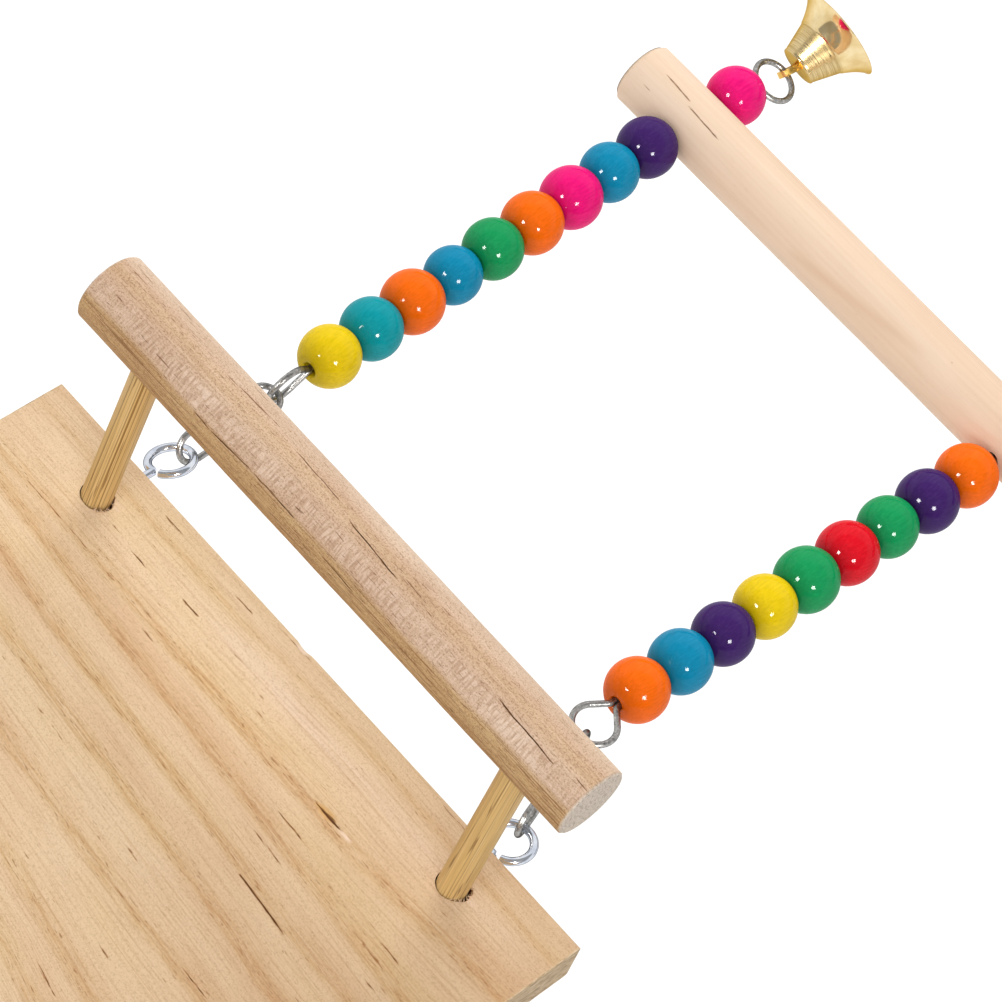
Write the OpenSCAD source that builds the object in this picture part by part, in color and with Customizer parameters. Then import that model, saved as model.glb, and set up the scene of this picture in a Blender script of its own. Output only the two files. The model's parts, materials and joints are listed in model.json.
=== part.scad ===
// Bird perch stand: a pine platform with a raised rail perch along its front edge and a bead
// swing chained to that edge. The swing is laid out flat on the surface the platform lies on.
// Millimetres. Origin: centre of the platform's underside. +Y points to the swing, +Z is up.

/* [Platform] */
// Width of the platform, along its grain
board_w = 171; // [150:1:220]
// Depth of the platform, front edge to rear edge
board_d = 125; // [110:1:160]
// Thickness of the platform
board_t = 12; // [12:0.5:18]
// Eased arris along the sawn edges
board_arris = 0.5; // [0.2:0.1:1]

/* [Rail perch] */
// Diameter of the rail perch
rail_d = 17.4; // [14:0.1:22]
// Length of the rail perch
rail_len = 151; // [140:0.5:200]
// Height of the rail's axis above the platform's top
rail_rise = 52.5; // [40:0.5:80]
// Chamfer round the rail's sawn ends
rail_chamfer = 0.5; // [0.2:0.1:1.5]
// Diameter of the pegs
peg_d = 7.2; // [5:0.1:9]
// Distance between the two pegs
peg_span = 117; // [90:0.5:130]
// Distance of the pegs' feet from the platform's front edge
peg_setback = 12.6; // [10:0.1:30]
// Forward lean of the pegs
peg_lean = 6; // [0:0.5:12]
// Depth of the pegs' holes in the platform
peg_seat = 9; // [6:0.5:10]
// How far each peg goes into the rail
peg_bite = 10; // [7:0.5:12]
// Radial room round a peg in its holes
peg_play = 0.2; // [0.05:0.05:0.4]

/* [Screw eyes] */
// Outer diameter of the ring
eye_od = 12.2; // [11:0.1:15]
// Wire of the ring
eye_wire = 1.95; // [1.6:0.05:2.4]
// Distance from the platform's front edge to the left ring's centre
left_eye_reach = 10.5; // [8:0.1:14]
// Distance from the platform's front edge to the right ring's centre
right_eye_reach = 8.3; // [8:0.1:14]
// Distance of the left ring from the middle
left_eye_x = 59; // [40:0.5:70]
// Distance of the right ring from the middle
right_eye_x = 56.5; // [40:0.5:70]
// Turn of the left ring about its shank
left_eye_turn = 25; // [0:1:30]
// Turn of the right ring about its shank
right_eye_turn = 9; // [0:1:30]
// Length of shank screwed into the platform
eye_shank = 8; // [6:0.5:12]
// Part of a turn left open where the ring's cut end meets the shank
eye_open = 20; // [10:1:40]

/* [Chains] */
// Outer length of a chain link
link_len = 12.55; // [12:0.05:16]
// Outer width of a chain link
link_w = 8.8; // [8:0.1:9.5]
// Wire of a chain link
link_wire = 1.5; // [1.2:0.05:1.6]
// Room at each joint of the chain that is pulled straight
chain_play = 0.35; // [0.3:0.05:0.5]

/* [Beads] */
// Diameter of a bead
bead_d = 15; // [14:0.1:18]
// Length of a bead between its flat ends
bead_len = 13.28; // [11.5:0.01:13.6]
// Diameter of a bead's hole
bead_hole = 3.5; // [3.4:0.05:4.5]
// Gap between neighbouring beads
bead_gap = 0.15; // [0.1:0.01:0.4]
// Beads on each side between the chain and the swing perch
beads_above = 9; // [9]
// How far the left beads lie up their wire, away from the swing perch
left_slide = 0; // [0:0.1:2]
// How far the right beads lie up their wire, away from the swing perch
right_slide = 1.5; // [0:0.1:2]

/* [Swing] */
// Diameter of the swing perch
swing_d = 17; // [16:0.1:20]
// Length of the swing perch
swing_len = 148; // [140:0.5:180]
// Chamfer round the swing perch's ends
swing_chamfer = 1; // [0.3:0.1:2]
// Bore of the wire holes through the swing perch
perch_hole = 4.5; // [4.4:0.1:5]
// Distance between the two wire holes in the swing perch
hanger_span = 113; // [100:0.5:120]
// How far the laid-out swing lies to the left of the platform's middle
swing_shift = 8; // [0:0.5:8]
// Wire of the hangers
hanger_wire = 1.5; // [1.2:0.05:1.6]
// Angle by which the left hanger closes in towards the chain
left_splay = 2.2; // [0:0.1:3]
// Angle by which the right hanger closes in towards the chain
right_splay = 1.4; // [0:0.1:3]
// Angle by which the wire closes in below the swing perch
lower_toe = 3.5; // [0:0.1:6]
// Radius of the top loop, at the wire's middle
loop_r = 5.15; // [4.5:0.05:6]
// Half the angle between the legs of the top loop
loop_flare = 40; // [30:1:45]
// Turn of the left top loop about its wire, 0 lies flat
left_loop_turn = 84; // [70:1:95]
// Turn of the right top loop about its wire, 0 lies flat
right_loop_turn = 0; // [-15:1:15]
// Lean of the left top loop towards its chain
left_loop_lean = 0; // [0:1:10]
// Lean of the right top loop towards its chain
right_loop_lean = 10; // [0:1:12]
// Radius of the small bends in the wire
wire_bend = 1.5; // [1:0.1:2]
// Radius of the bottom loop, at the wire's middle
foot_loop_r = 5.5; // [5:0.05:6.5]
// Half the angle between the legs of the bottom loop
foot_loop_flare = 70; // [60:1:75]
// Turn of the bottom loops about their wire
foot_loop_turn = 16; // [0:1:20]

/* [Bells] */
// Diameter of the flat of the bell's crown
crown_d = 10.4; // [9:0.1:11]
// Diameter of the rounded shoulder below the crown
shoulder_d = 14.4; // [13:0.1:15]
// Height of the rounded shoulder
shoulder_drop = 3; // [2:0.1:4]
// Diameter where the bell's wall starts to flare
waist_d = 17.2; // [16:0.1:18]
// Height from the crown to where the wall starts to flare
waist_drop = 8; // [7.5:0.1:9]
// Diameter of the bell's mouth
mouth_d = 25; // [23:0.1:28]
// Height of the bell
bell_h = 13.5; // [13:0.1:18]
// Thickness of the bell's wall
bell_wall = 0.7; // [0.5:0.05:0.9]
// Height of the strap above the crown, at the middle of its bend
strap_rise = 3.4; // [3:0.1:7]
// Width of the strap
strap_w = 1.6; // [1.2:0.1:1.8]
// Thickness of the strap
strap_t = 0.8; // [0.6:0.05:1]
// Clear gap between the strap's legs
strap_gap = 3.6; // [3.4:0.1:4]
// Width of the strap's feet on the crown
strap_foot = 6; // [5.4:0.1:6.6]
// How far the strap sits to the outer side of the bottom loop's end
strap_aside = 1; // [0:0.1:1.5]
// Turn of the strap about the bell's axis
strap_turn = 30; // [0:1:32]
// Length of the clapper, from its pivot to the middle of its ball
clapper_len = 9; // [8:0.1:9.4]
// Diameter of the clapper's ball
ball_d = 4.4; // [3.5:0.1:5]
// Room under the bell where it lies on the surface
rim_play = 0.2; // [0.1:0.05:0.5]

/* [Cage clamps] */
// Distance between the two studs in the rear edge
stud_span = 90; // [60:1:140]
// Diameter of a stud
stud_d = 5; // [4:0.1:6]
// Length of a stud that stands out of the rear edge
stud_out = 30; // [28:0.5:40]
// Depth of a stud in the platform
stud_bite = 18; // [12:0.5:30]
// Diameter of the washers
washer_d = 11.6; // [10:0.1:11.8]
// Thickness of a washer
washer_t = 1.2; // [0.8:0.1:1.8]
// Gap for the cage wire between the two washers
clamp_gap = 5; // [4.6:0.1:8]
// Height of the wing nut's hub
nut_h = 6; // [5:0.1:8]
// Diameter of the wing nut's hub at its washer end
nut_d = 9.6; // [8.5:0.1:11]
// Distance over the two wings
nut_span = 24; // [22:0.5:28]
// Thickness of a wing
wing_t = 2; // [1.5:0.1:2.5]
// Radial running clearance of the washers and the nut on a stud
stud_play = 0.1; // [0.05:0.05:0.3]
// Gap between the outer washer and the wing nut
nut_gap = 0.1; // [0.05:0.05:0.3]

/* [Hidden] */
$fn = 48;
SIDES = ["left", "right"];
LEFT = 0;
RIGHT = 1;
LINKS = 3;
// Turn of each link about its chain, counted from lying flat
LINK_TURN = [[120, 60, 0], [95, 5, 95]];
// Size of each bead against the nominal bead, from the chain outwards
BEAD_SIZE = [
    [0.99, 1, 1.03, 0.94, 0.99, 1.02, 1.03, 0.98, 1.01],
    [1, 1, 0.98, 1, 1.04, 1.01, 0.98, 1.02, 1.02]
];
PINE = "#e3bd8c";
RAIL_WOOD = "#cda683";
DOWEL_WOOD = "#ecd2b3";
BAMBOO = "#cdac6c";
STEEL = "#9a9a98";
ZINC = "#c9ccd2";
BRASS = "#d9b65a";
BEAD_COLOURS = [
    ["#f0d010", "#169a9e", "#f2700c", "#1a87a8", "#1b8f4e", "#f2700c", "#e91a86", "#1f8fb2", "#4a2583"],
    ["#ee5c0c", "#1684a6", "#4a2583", "#f0d71c", "#1b8f4e", "#d8172f", "#1f9450", "#4a2583", "#f0700e"]
];
LOWER_BEAD_COLOURS = ["#e91a86", "#1a87a8"];

// Mirror sign of a side: the left is at negative X
function hand(side) = side == LEFT ? -1 : 1;
function unit(v) = v / norm(v);
function of_side(side, left, right) = side == LEFT ? left : right;

front_y = board_d / 2;
rear_y = -board_d / 2;
board_mid = board_t / 2;

// Rail and pegs
rail_z = board_t + rail_rise;
peg_foot_y = front_y - peg_setback;
rail_y = peg_foot_y + rail_rise * tan(peg_lean);
peg_run = rail_rise / cos(peg_lean);
peg_past_axis = peg_bite - rail_d / 2;

// Screw eyes: the shanks stop short of the pegs
shank_in = min(eye_shank, peg_setback - peg_d / 2 - 0.5);
eye_r = (eye_od - eye_wire) / 2;
function eye_x(side) = hand(side) * of_side(side, left_eye_x, right_eye_x);
function eye_turn(side) = of_side(side, left_eye_turn, right_eye_turn);
function eye_reach(side) = of_side(side, left_eye_reach, right_eye_reach);
function eye_centre(side) = [eye_x(side), front_y + eye_reach(side), board_mid];

// Hanger wires: distances run from the swing perch's axis towards the chain
swing_r = swing_d / 2;
bead_pitch = bead_len + bead_gap;
wire_swell = 1.02;
strand_off = hanger_wire / 2 + 0.03;
function splay(side) = of_side(side, left_splay, right_splay);
function loop_turn(side) = of_side(side, left_loop_turn, right_loop_turn);
function hole_x(side) = hand(side) * hanger_span / 2 - swing_shift;
function bead_slide(side) = of_side(side, left_slide, right_slide);
function loop_lean(side) = of_side(side, left_loop_lean, right_loop_lean);
// Middle of a bead above the swing perch, counted from 1 at the chain
function bead_reach(side, n) =
    swing_r + bead_gap + bead_len / 2 + (beads_above - n) * bead_pitch + bead_slide(side);
// The lower bead toes out, so its flat stands off the perch
bead_flat_r = sqrt(pow(bead_d, 2) - pow(bead_len, 2)) / 2;
lower_bead_reach = swing_r + bead_gap + bead_flat_r * sin(lower_toe) + bead_len / 2;
function loop_start(side) = bead_reach(side, 1) + bead_len / 2 - 0.3;
// Length of a loop's straight leg, when its strands start off to each side of the loop's axis
function leg(r, flare, off) = (r * cos(flare) - off - wire_bend * (1 - cos(flare))) / sin(flare);
// Distance from the first bend to the middle of a loop
function loop_mid(r, flare, off) = (wire_bend + r) * sin(flare) + leg(r, flare, off) * cos(flare);
// The top loop's legs when the loop leans to one side
top_mid = loop_mid(loop_r, loop_flare, strand_off);
function near_flare(side) = loop_flare + loop_lean(side);
function far_flare(side) = loop_flare - loop_lean(side);
function near_leg(side) =
    leg(loop_r, near_flare(side), strand_off) + top_mid * sin(loop_lean(side)) / sin(near_flare(side));
function far_leg(side) =
    leg(loop_r, far_flare(side), strand_off) - top_mid * sin(loop_lean(side)) / sin(far_flare(side));
// Middle of the top loop from the swing perch's wire hole, in world directions
function loop_up(side) = loop_start(side) + (wire_bend + loop_r) * sin(near_flare(side))
    + near_leg(side) * cos(near_flare(side));
function loop_aside(side) = -top_mid * sin(loop_lean(side));
// Where the strand that runs on through the beads leaves the loop
function strand_start(side) = loop_up(side) - (wire_bend + loop_r) * sin(far_flare(side))
    - far_leg(side) * cos(far_flare(side));
function up_angle(side) = 180 - hand(side) * splay(side);
function loop_offset(side) = [
    cos(up_angle(side)) * loop_aside(side) * cos(loop_turn(side)) - sin(up_angle(side)) * loop_up(side),
    sin(up_angle(side)) * loop_aside(side) * cos(loop_turn(side)) + cos(up_angle(side)) * loop_up(side),
    -loop_aside(side) * sin(loop_turn(side))
];

// Chains: the one that is pulled straight decides how far out the swing lies
link_run = link_len - link_wire;
link_r = (link_w - link_wire) / 2;
joint_sum = (eye_wire + link_wire) / 2 + (LINKS - 1) * link_wire + (link_wire + hanger_wire) / 2;
chain_reach = eye_r + LINKS * link_run - joint_sum - (LINKS + 1) * chain_play + loop_r;
function chain_dx(side) = hole_x(side) + loop_offset(side).x - eye_x(side);
function chain_dz(side) = swing_r + loop_offset(side).z - board_mid;
function chain_dy(side) = sqrt(pow(chain_reach, 2) - pow(chain_dx(side), 2) - pow(chain_dz(side), 2));
function swing_y_from(side) = eye_centre(side).y + chain_dy(side) - loop_offset(side).y;
swing_y = min(swing_y_from(LEFT), swing_y_from(RIGHT));
function hole(side) = [hole_x(side), swing_y, swing_r];
function loop_centre(side) = hole(side) + loop_offset(side);
function pull(side) = unit(loop_centre(side) - eye_centre(side));
// Wire middles where the chain hooks in, on the ring and on the loop
function ring_hook(side) = eye_centre(side) + eye_r * pull(side);
function loop_hook(side) = loop_centre(side) - loop_r * pull(side);
function chain_room(side) =
    (LINKS * link_run - joint_sum - norm(loop_hook(side) - ring_hook(side))) / (LINKS + 1);
// Near end of a link, at its wire's middle, counted from 0 at the ring
function link_near(side, n) =
    ring_hook(side) + pull(side) * (n * (link_run - link_wire - chain_room(side))
    - (eye_wire + link_wire) / 2 - chain_room(side));
function link_far(side, n) = link_near(side, n) + pull(side) * link_run;

// Bells lie on their shoulder and rim: distances run outwards from the middle of the loop's wire
strap_inner_r = strap_gap / 2;
strap_drop = strap_inner_r - hanger_wire / 2 - 0.3;
crown_at = strap_drop + strap_rise;
bell_rise = atan((mouth_d - shoulder_d) / 2 / (bell_h - shoulder_drop));
bell_z = rim_play + shoulder_d / 2 * cos(bell_rise) - shoulder_drop * sin(bell_rise);
// The wire droops below the lower bead to the height of the bell's strap
droop_r = 4;
foot_len = loop_mid(foot_loop_r, foot_loop_flare, 0) + foot_loop_r;
lower_face = lower_bead_reach + bead_len / 2 - 0.3;
strap_back = foot_loop_r - sqrt(pow(foot_loop_r, 2) - pow(strap_aside, 2));
// Sideways offset of the wire from the beads' axis
function strand_x(side) = -strand_off * cos(loop_turn(side));
function strand_z(side) = -strand_off * sin(loop_turn(side));
function foot_fall(side) = swing_r + strand_z(side) - bell_z + strap_aside * sin(foot_loop_turn);
function foot_droop(side) =
    asin((foot_fall(side) - droop_r) / norm([foot_len, droop_r])) + atan2(droop_r, foot_len);
function foot_at(side) = lower_face + droop_r * sin(foot_droop(side)) + foot_len * cos(foot_droop(side));
slot_play = 0.05;
plate_t = 0.8;
plate_d = 6;
staple_wire = 1;
staple_r = 1.9;
clapper_wire = 0.9;
clapper_eye_r = 1.25;
clapper_at = bell_wall + plate_t + staple_r;
// Droop of the clapper where its ball lies by the wall
clapper_play = 0.3;
clapper_droop = asin((waist_d / 2 - bell_wall - ball_d / 2 - clapper_play) / clapper_len);

// Cage clamps: distances run rearwards from the rear edge
inner_washer_at = 0;
outer_washer_at = washer_t + clamp_gap;
nut_at = outer_washer_at + washer_t + nut_gap;

// Places

// From the rear edge outwards, +Z away from the platform
module at_stud(side) {
    translate([hand(side) * stud_span / 2, rear_y, board_mid])
        rotate([90, 0, 0])
            children();
}

// Foot of a peg, +Z along the peg
module at_peg(side) {
    translate([hand(side) * peg_span / 2, peg_foot_y, board_t])
        rotate([-peg_lean, 0, 0])
            children();
}

// Swing perch's wire hole, +Y along the beads towards the chain
module up_hanger(side) {
    translate(hole(side))
        rotate([0, 0, up_angle(side)])
            children();
}

// The same hole, +Y along the wire away from the chain
module down_hanger(side) {
    translate(hole(side))
        rotate([0, 0, hand(side) * lower_toe])
            children();
}

// Wire's middle at the bottom loop, +Y along the strap to the bell's crown
module at_strap(side) {
    down_hanger(side)
        translate([strand_x(side) + hand(side) * strap_aside, foot_at(side) - strap_back, bell_z - swing_r])
            children();
}

// Middle of the bell's crown, +Y along the bell's axis to its mouth
module at_bell(side) {
    at_strap(side)
        translate([0, crown_at, 0])
            rotate([bell_rise, 0, 0])
                children();
}

// Shapes that repeat

// Round wire that starts at the origin along +Y. A step is [roll, length, bend radius, bend angle]:
// roll about the wire, run straight, then bend to the left (positive) or the right. A hair-thin
// swelling at each change joins the runs into one piece.
module bent_wire(r, steps, i = 0) {
    if (i < len(steps)) {
        roll = steps[i][0];
        run = steps[i][1];
        bend = steps[i][2];
        turn = steps[i][3];
        centre = turn < 0 ? bend : -bend;
        rotate([0, roll, 0]) {
            if (i > 0)
                sphere(r = wire_swell * r);
            if (run > 0)
                rotate([-90, 0, 0])
                    cylinder(r = r, h = run);
            if (run > 0 && turn != 0)
                translate([0, run, 0])
                    sphere(r = wire_swell * r);
            translate([centre, run, 0]) {
                if (turn != 0)
                    rotate([0, 0, turn < 0 ? 180 + turn : 0])
                        rotate_extrude(angle = abs(turn))
                            translate([bend, 0])
                                circle(r = r);
                rotate([0, 0, turn])
                    translate([-centre, 0, 0])
                        bent_wire(r, steps, i + 1);
            }
        }
    }
}

// Closed chain link between two points at its wire's middle, turned about its length
module link(near, far, turn) {
    along = unit(far - near);
    straight = link_run - 2 * link_r;
    translate(near)
        rotate([0, 0, atan2(along.y, along.x) - 90])
            rotate([asin(along.z), 0, 0])
                rotate([0, -turn, 0])
                    translate([0, link_run / 2, 0])
                        for (end = [0, 180])
                            rotate([0, 0, end]) {
                                translate([link_r, -straight / 2, 0])
                                    rotate([-90, 0, 0])
                                        cylinder(d = link_wire, h = straight);
                                translate([0, straight / 2, 0])
                                    rotate_extrude(angle = 180)
                                        translate([link_r, 0])
                                            circle(d = link_wire);
                            }
}

// Round bar along +X with chamfered ends, centred
module chamfered_bar(d, length, chamfer) {
    half = length / 2;
    r = d / 2;
    rotate([0, 90, 0])
        rotate_extrude()
            polygon([
                [0, -half], [r - chamfer, -half], [r, -half + chamfer],
                [r, half - chamfer], [r - chamfer, half], [0, half]
            ]);
}

// Turned bead along +Y, centred
module bead(size) {
    rotate([90, 0, 0])
        difference() {
            intersection() {
                sphere(d = bead_d * size);
                cylinder(d = 2 * bead_d, h = bead_len, center = true);
            }
            cylinder(d = bead_hole, h = bead_d, center = true);
        }
}

// Flat ring on a stud, from z = 0 upwards
module washer() {
    difference() {
        cylinder(d = washer_d, h = washer_t);
        translate([0, 0, -1])
            cylinder(r = stud_d / 2 + stud_play, h = washer_t + 2);
    }
}

// Pieces

module platform_board() {
    a = board_arris;
    y = board_d / 2;
    color(PINE)
        difference() {
            rotate([90, 0, 90])
                linear_extrude(board_w, center = true)
                    polygon([
                        [-y + a, 0], [y - a, 0], [y, a], [y, board_t - a],
                        [y - a, board_t], [-y + a, board_t], [-y, board_t - a], [-y, a]
                    ]);
            for (side = [LEFT, RIGHT]) {
                at_peg(side)
                    translate([0, 0, -peg_seat])
                        cylinder(r = peg_d / 2 + peg_play, h = 2 * peg_seat);
                translate([eye_x(side), front_y - shank_in, board_mid])
                    rotate([-90, 0, 0])
                        cylinder(d = eye_wire, h = 2 * shank_in);
                at_stud(side)
                    translate([0, 0, -stud_bite])
                        cylinder(d = stud_d, h = 2 * stud_bite);
            }
        }
}

module rail_perch() {
    color(RAIL_WOOD)
        difference() {
            translate([0, rail_y, rail_z])
                chamfered_bar(rail_d, rail_len, rail_chamfer);
            for (side = [LEFT, RIGHT])
                at_peg(side)
                    cylinder(r = peg_d / 2 + peg_play, h = peg_run + peg_past_axis);
        }
}

module peg(side) {
    color(BAMBOO)
        at_peg(side)
            translate([0, 0, -peg_seat])
                cylinder(d = peg_d, h = peg_seat + peg_run + peg_past_axis);
}

// Ring bent from the shank's own wire, its cut end left a little open beside the shank
module screw_eye(side) {
    neck = eye_reach(side) - eye_r;
    color(ZINC)
        translate(eye_centre(side))
            rotate([0, -eye_turn(side), 0]) {
                translate([0, -eye_reach(side) - shank_in, 0])
                    rotate([-90, 0, 0])
                        cylinder(d = eye_wire, h = shank_in + neck);
                rotate([0, 0, -90 + eye_open])
                    rotate_extrude(angle = 360 - eye_open)
                        translate([eye_r, 0])
                            circle(d = eye_wire);
            }
}

module chain_link(side, n) {
    color(STEEL)
        link(link_near(side, n - 1), link_far(side, n - 1), LINK_TURN[side][n - 1]);
}

// One wire from the cut end in the first bead's hole, round the top loop, down through the beads
// and the swing perch, and round the bottom loop
module hanger_wire(side) {
    foot_leg = leg(foot_loop_r, foot_loop_flare, 0);
    tail = 5;
    kink = splay(side) + lower_toe;
    kink_r = 8;
    kink_half = kink_r * tan(kink / 2);
    color(STEEL)
        up_hanger(side)
            rotate([0, loop_turn(side), 0])
                translate([-strand_off, loop_start(side) - tail, 0])
                    bent_wire(hanger_wire / 2, [
                        [0, tail, wire_bend, near_flare(side)],
                        [0, near_leg(side), loop_r, -180 - 2 * loop_flare],
                        [0, far_leg(side), wire_bend, far_flare(side)],
                        [loop_turn(side), strand_start(side) - kink_half, kink_r, hand(side) * kink],
                        [-90, lower_face - kink_half, droop_r, foot_droop(side)],
                        [90 - hand(side) * foot_loop_turn, 0, wire_bend, foot_loop_flare],
                        [0, foot_leg, foot_loop_r, -180 - 2 * foot_loop_flare],
                        [0, foot_leg - hanger_wire, 0, 0]
                    ]);
}

module swing_perch() {
    color(DOWEL_WOOD)
        difference() {
            translate([-swing_shift, swing_y, swing_r])
                chamfered_bar(swing_d, swing_len, swing_chamfer);
            for (side = [LEFT, RIGHT])
                translate([hole_x(side), swing_y, swing_r])
                    rotate([90, 0, 0])
                        cylinder(d = perch_hole, h = 2 * swing_d, center = true);
        }
}

module upper_bead(side, n) {
    color(BEAD_COLOURS[side][n - 1])
        up_hanger(side)
            translate([0, bead_reach(side, n), 0])
                bead(BEAD_SIZE[side][n - 1]);
}

module lower_bead(side) {
    color(LOWER_BEAD_COLOURS[side])
        down_hanger(side)
            translate([0, lower_bead_reach, 0])
                bead(1);
}

// Spun shell: flat crown, rounded shoulder, straight wall to the waist, flared skirt
module bell(side) {
    t = bell_wall;
    bulge = (shoulder_d - crown_d) / 2;
    skirt = bell_h - waist_drop;
    steps = 6;
    shoulder = [for (i = [0 : steps])
        let (a = 90 * i / steps)
            [crown_d / 2 + bulge * sin(a), shoulder_drop * (1 - cos(a))]];
    skirt_line = [for (i = [0 : steps])
        let (u = i / steps)
            [waist_d / 2 + (mouth_d - waist_d) / 2 * (0.55 * u + 0.45 * pow(u, 3)), waist_drop + skirt * u]];
    outer = concat([[0, 0]], shoulder, skirt_line);
    inner = concat(
        [for (i = [steps : -1 : 0]) [skirt_line[i].x - t, skirt_line[i].y]],
        [for (i = [steps : -1 : 0]) [shoulder[i].x - t, max(shoulder[i].y, t)]],
        [[0, t]]
    );
    color(BRASS)
        difference() {
            at_bell(side)
                rotate([-90, 0, 0])
                    rotate_extrude()
                        polygon(concat(outer, inner));
            at_strap(side)
                strap_legs(side, slot_play);
        }
}

// The two legs of a bell's strap, made thicker all round by grow
module strap_legs(side, grow) {
    reach = crown_at - strap_drop + 3;
    translate([0, strap_drop, 0])
        rotate([0, -hand(side) * strap_turn, 0])
            for (leg_z = [-1, 1] * (strap_gap + strap_t) / 2)
                translate([0, reach / 2, leg_z])
                    cube([strap_w + 2 * grow, reach, strap_t + 2 * grow], center = true);
}

// Feet that widen the strap's legs towards the crown
module strap_feet(side) {
    leg_in = strap_gap / 2 + strap_t / 4;
    leg_out = strap_gap / 2 + strap_t;
    spread = (strap_foot / 2 - leg_out) / strap_rise;
    reach = 2 * strap_rise;
    translate([0, strap_drop, 0])
        rotate([0, -hand(side) * strap_turn, 0])
            for (leg = [0, 180])
                rotate([0, leg - 90, 0])
                    linear_extrude(strap_w, center = true)
                        polygon([
                            [leg_in, 0], [leg_out, 0],
                            [leg_out + spread * reach, reach], [leg_in, reach]
                        ]);
}

// Strip folded over the loop's wire, its legs through the crown to a plate with a staple
module bell_strap(side) {
    color(BRASS) {
        at_strap(side)
            translate([0, strap_drop, 0])
                rotate([0, -hand(side) * strap_turn, 0])
                    rotate([0, 90, 0])
                        rotate([0, 0, 180])
                            rotate_extrude(angle = 180)
                                translate([(strap_gap + strap_t) / 2, 0])
                                    square([strap_t, strap_w], center = true);
        difference() {
            at_strap(side)
                strap_feet(side);
            at_bell(side)
                translate([0, plate_d, 0])
                    cube(2 * plate_d, center = true);
        }
        difference() {
            at_strap(side)
                strap_legs(side, 0);
            at_bell(side)
                translate([0, bell_wall + plate_t / 2 + plate_d, 0])
                    cube(2 * plate_d, center = true);
        }
        at_bell(side) {
            translate([0, bell_wall, 0])
                rotate([-90, 0, 0])
                    cylinder(d = plate_d, h = plate_t);
            translate([0, clapper_at - staple_r, 0])
                rotate([0, 0, -15])
                    rotate_extrude(angle = 210)
                        translate([staple_r, 0])
                            circle(d = staple_wire);
        }
    }
}

module clapper(side) {
    color(BRASS)
        at_bell(side)
            translate([0, clapper_at, 0])
                rotate([-clapper_droop, 0, 0]) {
                    rotate([0, 90, 0])
                        rotate_extrude()
                            translate([clapper_eye_r, 0])
                                circle(d = clapper_wire);
                    translate([0, clapper_eye_r, 0])
                        rotate([-90, 0, 0])
                            cylinder(d = clapper_wire, h = clapper_len - clapper_eye_r);
                    translate([0, clapper_len, 0])
                        sphere(d = ball_d);
                }
}

module stud(side) {
    color(ZINC)
        at_stud(side)
            translate([0, 0, -stud_bite])
                cylinder(d = stud_d, h = stud_bite + stud_out);
}

module inner_washer(side) {
    color(ZINC)
        at_stud(side)
            translate([0, 0, inner_washer_at])
                washer();
}

module outer_washer(side) {
    color(ZINC)
        at_stud(side)
            translate([0, 0, outer_washer_at])
                washer();
}

// Tapered hub with two upswept wings that lie level
module wing_nut(side) {
    tip_r = 3.2;
    tip_x = nut_span / 2 - tip_r;
    tip_z = nut_h + 1.5;
    color(ZINC)
        at_stud(side)
            translate([0, 0, nut_at])
                difference() {
                    union() {
                        cylinder(d1 = nut_d, d2 = 0.8 * nut_d, h = nut_h);
                        for (wing = [0, 180])
                            rotate([0, 0, wing])
                                rotate([90, 0, 0])
                                    linear_extrude(wing_t, center = true) {
                                        translate([tip_x, tip_z])
                                            circle(r = tip_r);
                                        polygon([
                                            [stud_d / 2 + 1, 1], [nut_d / 2 + 1, 1.5],
                                            [tip_x + 0.8 * tip_r, tip_z - 0.6 * tip_r],
                                            [tip_x - 0.8 * tip_r, tip_z + 0.6 * tip_r],
                                            [stud_d / 2 + 1, nut_h - 0.5]
                                        ]);
                                    }
                    }
                    translate([0, 0, -1])
                        cylinder(r = stud_d / 2 + stud_play, h = nut_h + 2);
                }
}

platform_board();
rail_perch();
swing_perch();
for (side = [LEFT, RIGHT]) {
    peg(side);
    screw_eye(side);
    hanger_wire(side);
    bell(side);
    bell_strap(side);
    clapper(side);
    stud(side);
    inner_washer(side);
    outer_washer(side);
    wing_nut(side);
    for (n = [1 : LINKS])
        chain_link(side, n);
    for (n = [1 : beads_above])
        upper_bead(side, n);
    lower_bead(side);
}
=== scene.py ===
"""Bird perch stand: pine platform with a rail perch, and a beaded swing laid out in front of it."""
import json
import math
import random

import bmesh
import bpy
import numpy as np
from mathutils import Matrix, Vector

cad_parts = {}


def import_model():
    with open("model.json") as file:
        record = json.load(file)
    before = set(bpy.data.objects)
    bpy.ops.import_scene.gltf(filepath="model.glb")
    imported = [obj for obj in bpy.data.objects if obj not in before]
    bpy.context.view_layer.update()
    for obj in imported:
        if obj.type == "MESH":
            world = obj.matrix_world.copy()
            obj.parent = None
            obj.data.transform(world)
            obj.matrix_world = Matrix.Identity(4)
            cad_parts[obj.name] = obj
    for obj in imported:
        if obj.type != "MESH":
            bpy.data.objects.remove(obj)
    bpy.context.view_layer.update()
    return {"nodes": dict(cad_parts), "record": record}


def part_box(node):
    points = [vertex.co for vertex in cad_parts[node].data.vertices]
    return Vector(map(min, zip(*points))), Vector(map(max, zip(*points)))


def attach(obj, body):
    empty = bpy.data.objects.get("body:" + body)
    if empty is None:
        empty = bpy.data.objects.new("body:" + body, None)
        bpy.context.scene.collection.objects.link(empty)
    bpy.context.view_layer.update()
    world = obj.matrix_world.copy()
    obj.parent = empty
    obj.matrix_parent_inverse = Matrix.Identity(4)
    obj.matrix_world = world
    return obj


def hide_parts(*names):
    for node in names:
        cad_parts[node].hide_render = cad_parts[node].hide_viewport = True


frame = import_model()
cad = frame["nodes"]
MM = 0.001
HANDS = {"left": -1, "right": 1}
# The photograph's width and focal length, in pixels
IMAGE_PX = 1002
FOCAL_PX = 4400.0
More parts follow.
